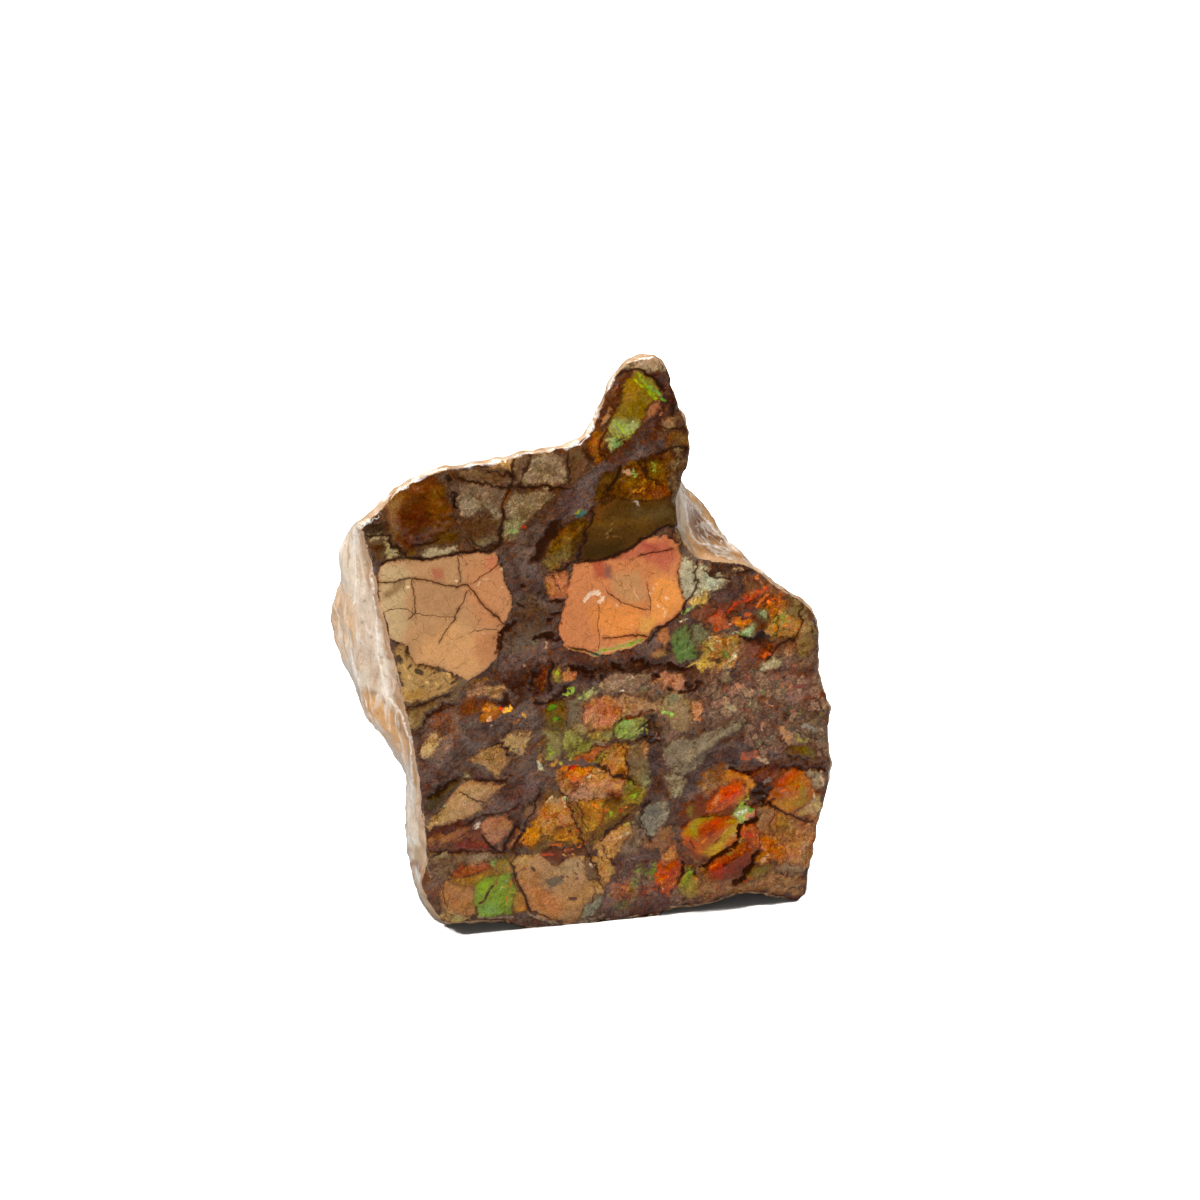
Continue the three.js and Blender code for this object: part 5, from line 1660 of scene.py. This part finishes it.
def swung(colour, hue, vividness, brightness):
    """A colour turned along the spectrum and made more or less vivid and bright."""
    made = tree.nodes.new("ShaderNodeHueSaturation")
    for value, name in ((hue, "Hue"), (vividness, "Saturation"), (brightness, "Value"), (colour, "Color")):
        put(value, made.inputs[name])
    return made.outputs[0]


def slanted(angle, stretch):
    """The stone's millimetres, turned in the plane of the face and drawn out along one direction."""
    turned = tree.nodes.new("ShaderNodeMapping")
    put(place, turned.inputs["Vector"])
    turned.inputs["Rotation"].default_value = (0, math.radians(angle), 0)
    drawn_out = tree.nodes.new("ShaderNodeVectorMath")
    drawn_out.operation = "MULTIPLY"
    put(turned.outputs[0], drawn_out.inputs[0])
    drawn_out.inputs[1].default_value = (1 / stretch, 1, 1)
    return drawn_out.outputs[0]


def cloud(scale, detail=3.0, roughness=0.6, distortion=0.0, at=None):
    """Noise with this many features to a millimetre."""
    made = tree.nodes.new("ShaderNodeTexNoise")
    put(at or place, made.inputs["Vector"])
    made.inputs["Scale"].default_value = scale
    made.inputs["Detail"].default_value = detail
    made.inputs["Roughness"].default_value = roughness
    made.inputs["Distortion"].default_value = distortion
    return made.outputs["Fac"]


def cells(scale, feature, shake):
    """Cells, this many to a millimetre, with borders shaken out of line."""
    made = tree.nodes.new("ShaderNodeTexVoronoi")
    made.feature = feature
    shaken = tree.nodes.new("ShaderNodeVectorMath")
    shaken.operation = "ADD"
    put(place, shaken.inputs[0])
    spread = tree.nodes.new("ShaderNodeVectorMath")
    spread.operation = "SCALE"
    wobble = tree.nodes.new("ShaderNodeTexNoise")
    put(place, wobble.inputs["Vector"])
    wobble.inputs["Scale"].default_value = 2 * scale
    put(wobble.outputs["Color"], spread.inputs[0])
    spread.inputs["Scale"].default_value = shake
    put(spread.outputs[0], shaken.inputs[1])
    put(shaken.outputs[0], made.inputs["Vector"])
    made.inputs["Scale"].default_value = scale
    return made


def chances(of_cells):
    """Three random numbers for each cell."""
    made = tree.nodes.new("ShaderNodeSeparateColor")
    put(of_cells.outputs["Color"], made.inputs[0])
    return made.outputs


def hair_lines(noise_field, level, core, edge):
    """Lines along which a noise passes a level."""
    off = calc("ABSOLUTE", calc("SUBTRACT", noise_field, level))
    return between(off, core, edge, 1.0, 0.0)


def off_line(name, wander):
    """Distance to the drawn lines of one kind, which wander by the grain."""
    return calc("ABSOLUTE", plus(stored(name), calc("MULTIPLY", ragged, wander)))


def line_mask(off, width, core, edge):
    """One on a drawn line and zero beside it: core and edge are shares of half its width."""
    half = calc("MULTIPLY", stored(width), 0.5)
    return rest_of(between(off, calc("MULTIPLY", half, core), calc("MULTIPLY", half, edge)))


coordinates = tree.nodes.new("ShaderNodeTexCoord")
in_millimetres = tree.nodes.new("ShaderNodeMapping")
in_millimetres.inputs["Scale"].default_value = (1 / MM,) * 3
put(coordinates.outputs["Object"], in_millimetres.inputs["Vector"])
place = in_millimetres.outputs["Vector"]

# Grains and clouds that the parts share. Streaks and hair lines follow the flow of the clay.
grit = cloud(8.5, 3, 0.7)
grain = cloud(2.4, 6, 0.72, 0.5)
blotch = cloud(0.8, 6, 0.65, 0.8)
drift = cloud(0.55, 5, 0.6, 0.6)
streaks = cloud(0.75, 6, 0.68, 0.7, slanted(33, 3.2))
dark_lines = hair_lines(cloud(1.25, 5, 0.62, 1.2, slanted(33, 1.7)), 0.5, 0.004, 0.022)
pale_lines = hair_lines(cloud(1.7, 5, 0.62, 1.4, slanted(33, 1.5)), 0.47, 0.002, 0.015)
ragged = calc("SUBTRACT", grain, 0.5)

# The shell's outline frays. A piece with a soft edge tears along the streaks.
fade = stored("shell_fade")
torn = plus(product(ragged, 0.6), calc("SUBTRACT", calc("MULTIPLY", streaks, 0.9), 0.45))
tear = between(fade, 0.08, 0.2)
broken = plus(product(ragged, rest_of(tear)), product(torn, tear))
frayed = product(broken, plus(0.35, calc("MULTIPLY", fade, 5.0)))
shell_off = plus(stored("shell_reach"), frayed)
shell_mask = between(shell_off, calc("MULTIPLY", fade, -1.0), fade)
fleck_mask = between(plus(stored("fleck_reach"), calc("MULTIPLY", ragged, 0.6)), -0.08, 0.1)

# Shell: two colours mottled together, that swing with the play of a piece, under a broken veil.
shell_noise = plus(calc("MULTIPLY", grain, 0.5), calc("MULTIPLY", streaks, 0.5))
shell_spots = between(plus(shell_noise, calc("SUBTRACT", stored("shell_share"), 0.5)), 0.42, 0.58)
shell = mixed(shell_spots, stored_colour("shell_ground"), stored_colour("shell_mottle"))
play = stored("shell_play")
speckle = between(cloud(1.7, 5, 0.7, 0.6), 0.36, 0.64, -0.015, 0.04)
hue = plus(0.5, product(plus(between(drift, 0.3, 0.7, -0.015, 0.03), speckle), play, play))
vividness = between(blotch, 0.3, 0.7, 0.96, calc("MULTIPLY_ADD", play, 0.25, 0.96))
unrest = calc("MULTIPLY_ADD", play, 0.32, 0.05)
brightness = between(streaks, 0.32, 0.68, rest_of(unrest), plus(1.0, unrest))
shell = swung(shell, hue, vividness, brightness)
veiled = between(play, 0.25, 0.58)
veil = product(between(cloud(0.8, 8, 0.75, 1.3), 0.52, 0.6), veiled, 0.7)
shell = shaded(veil, shell, (0.42, 0.3, 0.22))
lit = product(between(cloud(1.3, 7, 0.75, 1.0), 0.52, 0.6), veiled, 0.55)
shell = mixed(lit, shell, swung(shell, 0.51, 0.95, 1.7))
shell = mixed(product(pale_lines, play), shell, swung(shell, 0.53, 1.05, 1.7))
shell = shaded(product(dark_lines, calc("MULTIPLY_ADD", play, 0.6, 0.02)), shell, (0.3, 0.16, 0.08))

# Clay: two colours, wide drifts, amber that shines through, pale and dark spots.
vein_noise = plus(calc("MULTIPLY", streaks, 0.65), calc("MULTIPLY", grain, 0.35))
vein_spots = between(plus(vein_noise, calc("SUBTRACT", stored("vein_share"), 0.5)), 0.4, 0.6)
vein = mixed(vein_spots, stored_colour("vein_ground"), stored_colour("vein_mottle"))
vein = swung(vein, 0.5, between(grain, 0.3, 0.7, 0.75, 1.35), between(streaks, 0.32, 0.68, 0.62, 1.4))
wide = cloud(0.3, 5, 0.62, 0.8)
wide_hue = between(wide, 0.36, 0.64, 0.485, 0.505)
vein = swung(vein, wide_hue, between(wide, 0.4, 0.6, 1.25, 0.9), between(wide, 0.38, 0.62, 0.72, 1.22))
amber_share = product(between(cloud(1.0, 6, 0.68, 1.2), 0.5, 0.66), stored("vein_warmth"), 0.85)
vein = mixed(amber_share, vein, mixed(drift, dye("6a2c08"), dye("9a6a30")))
crushed = calc("MULTIPLY_ADD", stored("rubble_share"), 0.38, 0.15)
pale_share = product(between(cloud(1.9, 5, 0.7, 0.5), 0.58, 0.68), crushed)
vein = mixed(pale_share, vein, dye("a08468"))
dark_share = product(between(cloud(1.3, 6, 0.7, 1.4), 0.54, 0.64), 0.75)
vein = mixed(dark_share, vein, dye("2a180e"))

# Rubble: brown patches, small bits in six colours, then larger chips with dark edges.
patch = product(between(cloud(0.5, 6, 0.68, 1.0), 0.48, 0.58), stored("rubble_share"), 0.6)
vein = mixed(patch, vein, mixed(between(drift, 0.4, 0.6), dye("6c4a3c"), dye("8c6448")))
bit_chance = chances(cells(1.1, "F1", 0.55))
bit_gaps = cells(1.1, "DISTANCE_TO_EDGE", 0.55)
bit_tint = tree.nodes.new("ShaderNodeValToRGB")
bit_tint.color_ramp.interpolation = "CONSTANT"
put(bit_chance[0], bit_tint.inputs[0])
ramp = bit_tint.color_ramp.elements
ramp[0].color = (*dye("8a6048"), 1)
ramp[1].position = 0.9
ramp[1].color = (*dye("7a7848"), 1)
for position, code in ((0.3, "7c5440"), (0.5, "a07c5a"), (0.66, "6c5a44"), (0.8, "94503a")):
    ramp.new(position).color = (*dye(code), 1)
bit_there = between(bit_chance[1], rest_of(stored("rubble_share")), 1.05)
bit_rim = between(bit_gaps.outputs["Distance"], 0.02, 0.12)
bit_colour = swung(bit_tint.outputs[0], 0.5, 1.0, between(grain, 0.3, 0.7, 0.7, 1.3))
vein = mixed(product(bit_there, bit_rim, 0.72), vein, bit_colour)
chip_chance = chances(cells(0.62, "F1", 0.9))
chip_gap = cells(0.62, "DISTANCE_TO_EDGE", 0.9).outputs["Distance"]
chip_tint = mixed(chip_chance[0], mixed(chip_chance[2], dye("a06a52"), dye("b08a64")), dye("746048"))
chip_there = product(between(chip_chance[1], 0.5, 0.54), between(stored("rubble_share"), 0.25, 0.7))
chip_colour = swung(chip_tint, 0.5, 1.0, between(grain, 0.3, 0.7, 0.7, 1.25))
vein = mixed(product(chip_there, between(chip_gap, 0.03, 0.16), 0.7), vein, chip_colour)
vein = mixed(product(chip_there, between(chip_gap, 0.0, 0.07, 0.65, 0.0)), vein, dye("2a1910"))
vein = mixed(product(pale_lines, crushed, 0.5), vein, dye("b49478"))
vein = mixed(calc("MULTIPLY", dark_lines, 0.75), vein, dye("26150c"))

# Where they meet, clay and shell darken with painted shade, and so does shell along its seams, which also
# carry a dark joint line.
by_shell = product(between(shell_off, -0.6, -0.02), between(blotch, 0.36, 0.56, 0.9, 0.0))
vein = shaded(by_shell, vein, BESIDE_SHELL)
shell = shaded(product(between(shell_off, 0.0, 0.35, 1.0, 0.0), 0.35), shell, IN_A_SEAM)
seam = off_line("seam_reach", 0.3)
seam_parts = between(blotch, 0.44, 0.56, 0.1, 1.0)
seam_mask = product(between(seam, 0.01, 0.09, 1.0, 0.0), stored("seam_share"), seam_parts)
shell = shaded(product(between(seam, 0.0, 0.4, 0.45, 0.0), stored("seam_share")), shell, IN_A_SEAM)
shell = mixed(calc("MULTIPLY", seam_mask, 0.8), shell, dye("2c170b"))
colour = mixed(shell_mask, vein, shell)

# Flecks lie over both, and grit and grain under the lacquer darken and lighten all of it.
fleck_vividness = between(grain, 0.3, 0.7, 0.85, 1.15)
flecks = swung(stored_colour("fleck_tint"), 0.5, fleck_vividness, between(streaks, 0.3, 0.7, 0.7, 1.3))
colour = mixed(product(fleck_mask, between(grain, 0.32, 0.5, 0.4, 1.0)), colour, flecks)
busy = calc("ADD", rest_of(shell_mask), product(shell_mask, play, 2.0), clamp=True)
bite = calc("MULTIPLY_ADD", busy, 0.24, 0.14)
for texture in (grit, grain):
    colour = shaded(1.0, colour, between(texture, 0.32, 0.68, rest_of(bite), plus(1.0, bite)))
hair_gap = cells(0.42, "DISTANCE_TO_EDGE", 1.0).outputs["Distance"]
hair_line = product(between(hair_gap, 0.0, 0.025, 1.0, 0.0), between(blotch, 0.4, 0.6, 0.0, 0.55))
colour = mixed(hair_line, colour, dye("3a2010"))

# Cracks and pits: dark hair lines, painted shade beside the wider cracks, and painted shade in the pits,
# near black at their middles.
crack_off = off_line("crack_reach", 0.35)
crack_line = line_mask(crack_off, "crack_width", 0.3, 2.0)
crack_there = between(stored("crack_width"), 0.0, 0.03)
crack_mask = product(crack_line, crack_there, between(grain, 0.3, 0.5, 0.6, 1.0))
# Painted shade beside the wider cracks.
crack_side_shade = product(between(crack_off, 0.05, 0.5, 0.5, 0.0), between(stored("crack_width"), 0.05, 0.15))
colour = shaded(crack_side_shade, colour, BY_A_CRACK)
colour = mixed(calc("MULTIPLY", crack_mask, 0.88), colour, dye("241208"))
sunken = plus(stored("hollow_depth"), calc("MULTIPLY", ragged, 0.5))
colour = shaded(between(sunken, -0.02, 0.22, 0.0, 0.8), colour, IN_A_PIT)
pit = between(sunken, 0.2, 0.6)
colour = mixed(calc("MULTIPLY", pit, 0.85), colour, mixed(grain, dye("120803"), dye("3c1c0a")))

# Bare rock on the sides: beige and tan clouds, the drawn washes, orange streaks, and pale streaks that are
# painted highlights.
rock_wide = cloud(0.22, 4, 0.6, 0.3)
rock_fine = cloud(1.4, 6, 0.7)
rock_veins_and_highlights = cloud(0.55, 6, 0.66, 0.8, slanted(84, 3.5))
rock = mixed(between(rock_wide, 0.35, 0.62), dye("dcc6ac"), dye("b3936f"))
rock = mixed(stored("rock_shown"), rock, stored_colour("rock_tint"))
rock = mixed(product(between(rock_fine, 0.54, 0.72), 0.6), rock, dye("7a5a40"))
rock = mixed(product(between(rock_veins_and_highlights, 0.52, 0.62), 0.5), rock, dye("b08254"))
# Painted highlight: near-white streaks down the glossy walls.
rock = mixed(product(between(rock_veins_and_highlights, 0.48, 0.4), 0.5), rock, dye("efe4d6"))
rock = mixed(between(stored("behind"), 0.5, 2.0, 0.7, 0.0), rock, dye("ad8662"))
rock = shaded(1.0, rock, between(grit, 0.25, 0.75, 0.85, 1.12))
rock = shaded(1.0, rock, between(blotch, 0.3, 0.7, 0.86, 1.1))
ground_off = between(plus(stored("polish"), calc("MULTIPLY", ragged, 1.2)), 0.3, 0.7)
colour = mixed(ground_off, rock, colour)

# White glints on the ridges.
glint_line = line_mask(off_line("glint_reach", 0.5), "glint_width", 0.4, 1.8)
glint_there = between(stored("glint_width"), 0.0, 0.06)
glint_mask = product(glint_line, glint_there, between(grain, 0.38, 0.58, 0.1, 0.8))
colour = mixed(glint_mask, colour, dye("f2eae0"))

surface = tree.nodes.new("ShaderNodeBsdfPrincipled")
put(colour, surface.inputs["Base Color"])
surface.inputs["Roughness"].default_value = STONE_ROUGHNESS
surface.inputs["Specular IOR Level"].default_value = 0.0
bare = calc("MAXIMUM", pit, calc("MULTIPLY", crack_mask, 0.6))
put(rest_of(bare), surface.inputs["Coat Weight"])
surface.inputs["Coat Roughness"].default_value = LACQUER_ROUGHNESS
surface.inputs["Coat IOR"].default_value = LACQUER_INDEX


def bump(height, strength, distance, socket):
    made = tree.nodes.new("ShaderNodeBump")
    made.inputs["Strength"].default_value = strength
    made.inputs["Distance"].default_value = distance
    put(height, made.inputs["Height"])
    put(made.outputs[0], surface.inputs[socket])


height = plus(calc("MULTIPLY", grit, 0.5), calc("MULTIPLY", grain, 0.6))
height = calc("SUBTRACT", height, calc("MULTIPLY", crack_mask, 0.6))
bump(plus(height, calc("MULTIPLY", shell_mask, 0.4)), 0.6, GRAIN_HEIGHT, "Normal")
bump(plus(grain, calc("MULTIPLY", blotch, 0.5)), 0.5, LACQUER_HEIGHT, "Coat Normal")

output = tree.nodes.new("ShaderNodeOutputMaterial")
put(surface.outputs[0], output.inputs["Surface"])
stone.data.materials.clear()
stone.data.materials.append(lacquered)

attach(stone, "root")
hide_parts("ammolite_stone")


# ---- Floor --------------------------------------------------------------------------------------
# A pale sweep that the light washes out to white. The stone sees it as grey paper, or its foot would
# be lit more from below than from the room.

FLOOR_HALF_WIDTH = 2.5
FLOOR_FRONT = -0.11
FLOOR_BACK = 4.0
FLOOR_DROP = 0.01 * MM  # just under the foot
PAPER_SEEN = (0.22, 0.21, 0.2, 1)
PAPER_BOUNCED = (0.03, 0.03, 0.03, 1)

bpy.ops.object.select_all(action="DESELECT")
bpy.ops.mesh.primitive_plane_add(size=2, location=(0, 0, 0))
floor = bpy.context.active_object
floor.name = "floor"
floor_sides = (-FLOOR_HALF_WIDTH, FLOOR_HALF_WIDTH)
floor_corners = [[x, y, -FLOOR_DROP] for y in (FLOOR_FRONT, FLOOR_BACK) for x in floor_sides]
set_points(floor.data, np.array(floor_corners) / MM)
paper = bpy.data.materials.new("white_paper")
paper.use_nodes = True
paper_surface = paper.node_tree.nodes["Principled BSDF"]
paper_view = paper.node_tree.nodes.new("ShaderNodeLightPath")
paper_tint = paper.node_tree.nodes.new("ShaderNodeMix")
paper_tint.data_type = "RGBA"
paper_tint.inputs[MIX_FIRST].default_value = PAPER_BOUNCED
paper_tint.inputs[MIX_SECOND].default_value = PAPER_SEEN
paper.node_tree.links.new(paper_view.outputs["Is Camera Ray"], paper_tint.inputs[0])
paper.node_tree.links.new(paper_tint.outputs[MIX_RESULT], paper_surface.inputs["Base Color"])
paper_surface.inputs["Roughness"].default_value = 0.9
paper_surface.inputs["Specular IOR Level"].default_value = 0.1
floor.data.materials.append(paper)


# ---- Light --------------------------------------------------------------------------------------
# A white room, with a dark flag where the face mirrors it. A wide sun stands overhead and two soft
# boxes in front. Two small boxes are mirrored in the lacquer as white edges, and three lamps light
# the floor alone.

ROOM_GLOW = 0.38
FLAG_GLOW = 0.02
FLAG_EDGE = 0.3  # where the room begins to darken toward the flag, as a cosine
FLAG_MIDDLE = 0.85
GLOSS_GLOW = 0.12  # share of the room that the lacquer mirrors
BACKDROP_GLOW = 1.2  # the room as the camera sees it
MIRRORED = (0.266, -0.962, -0.06)  # where the face sends the camera's line of sight
LAMP_AIM = (0, 0, 0.03)

room = bpy.data.worlds.new("room")
bpy.context.scene.world = room
room.use_nodes = True
room_nodes = room.node_tree.nodes
room_links = room.node_tree.links
seen = room_nodes.new("ShaderNodeLightPath")
heading = room_nodes.new("ShaderNodeTexCoord")
toward = room_nodes.new("ShaderNodeVectorMath")
toward.operation = "DOT_PRODUCT"
toward.inputs[1].default_value = MIRRORED
room_links.new(heading.outputs["Generated"], toward.inputs[0])
walls = room_nodes.new("ShaderNodeMapRange")
walls.interpolation_type = "SMOOTHSTEP"
for value, socket in zip((FLAG_EDGE, FLAG_MIDDLE, ROOM_GLOW, FLAG_GLOW), walls.inputs[1:5]):
    socket.default_value = value
room_links.new(toward.outputs["Value"], walls.inputs[0])
sky = room_nodes["Background"]
sky.inputs["Color"].default_value = (1, 1, 1, 1)
dulled = room_nodes.new("ShaderNodeMapRange")
dulled.inputs["To Min"].default_value = 1.0
dulled.inputs["To Max"].default_value = GLOSS_GLOW
room_links.new(seen.outputs["Is Glossy Ray"], dulled.inputs[0])
shown = room_nodes.new("ShaderNodeMath")
shown.operation = "MULTIPLY"
room_links.new(walls.outputs[0], shown.inputs[0])
room_links.new(dulled.outputs[0], shown.inputs[1])
room_links.new(shown.outputs[0], sky.inputs["Strength"])
backdrop = room_nodes.new("ShaderNodeBackground")
backdrop.inputs["Strength"].default_value = BACKDROP_GLOW
either = room_nodes.new("ShaderNodeMixShader")
room_links.new(seen.outputs["Is Camera Ray"], either.inputs[0])
room_links.new(sky.outputs[0], either.inputs[1])
room_links.new(backdrop.outputs[0], either.inputs[2])
room_links.new(either.outputs[0], room_nodes["World Output"].inputs["Surface"])

floor_only = bpy.data.collections.new("floor_only")
floor_only.objects.link(floor)


def hang(name, lamp, lights):
    """A lamp in the room. It lights one collection, or all."""
    holder = bpy.data.objects.new(name, lamp)
    holder.light_linking.receiver_collection = lights
    bpy.context.scene.collection.objects.link(holder)
    return holder


def sun(name, energy, angle, tilt, lights=None):
    lamp = bpy.data.lights.new(name, "SUN")
    lamp.energy = energy
    lamp.angle = math.radians(angle)
    hang(name, lamp, lights).rotation_euler = (math.radians(tilt), 0, 0)


def soft_box(name, location, width, energy, height=None, mirrored=False, lights=None):
    lamp = bpy.data.lights.new(name, "AREA")
    lamp.energy = energy
    lamp.shape = "RECTANGLE"
    lamp.size = width
    lamp.size_y = height or width
    holder = hang(name, lamp, lights)
    holder.location = location
    holder.rotation_euler = (Vector(LAMP_AIM) - holder.location).to_track_quat("-Z", "Y").to_euler()
    holder.visible_camera = False
    holder.visible_glossy = mirrored


sun("overhead", energy=3.0, angle=15, tilt=-12)
sun("floor_wash", energy=16, angle=6, tilt=-3, lights=floor_only)
soft_box("front_box", (-0.1, -1.05, 0.12), width=0.7, energy=8.6)
soft_box("left_box", (-0.95, -0.6, 0.14), width=0.8, energy=3.5)
soft_box("spark", (-0.3, -0.07, 0.9), width=0.12, energy=4, mirrored=True)
soft_box("left_strip", (-0.9, 0.25, 0.3), width=0.2, height=0.7, energy=1.5, mirrored=True)
soft_box("left_wash", (-0.7, 0.18, 0.5), width=0.15, energy=70, lights=floor_only)
soft_box("right_wash", (0.7, 0.18, 0.5), width=0.15, energy=70, lights=floor_only)


# ---- Camera -------------------------------------------------------------------------------------
# It stands where the sheet's eye is, and looks along the eye's own line.

lens = bpy.data.cameras.new("camera")
lens.lens = LENS
lens.sensor_width = SENSOR
lens.clip_start = 0.01
lens.clip_end = 50
camera = bpy.data.objects.new("camera", lens)
camera.location = Vector(eye * MM)
camera.rotation_euler = Vector(-eye_back).to_track_quat("-Z", "Y").to_euler()
bpy.context.scene.collection.objects.link(camera)
bpy.context.scene.camera = camera
bpy.context.scene.view_settings.view_transform = "Standard"
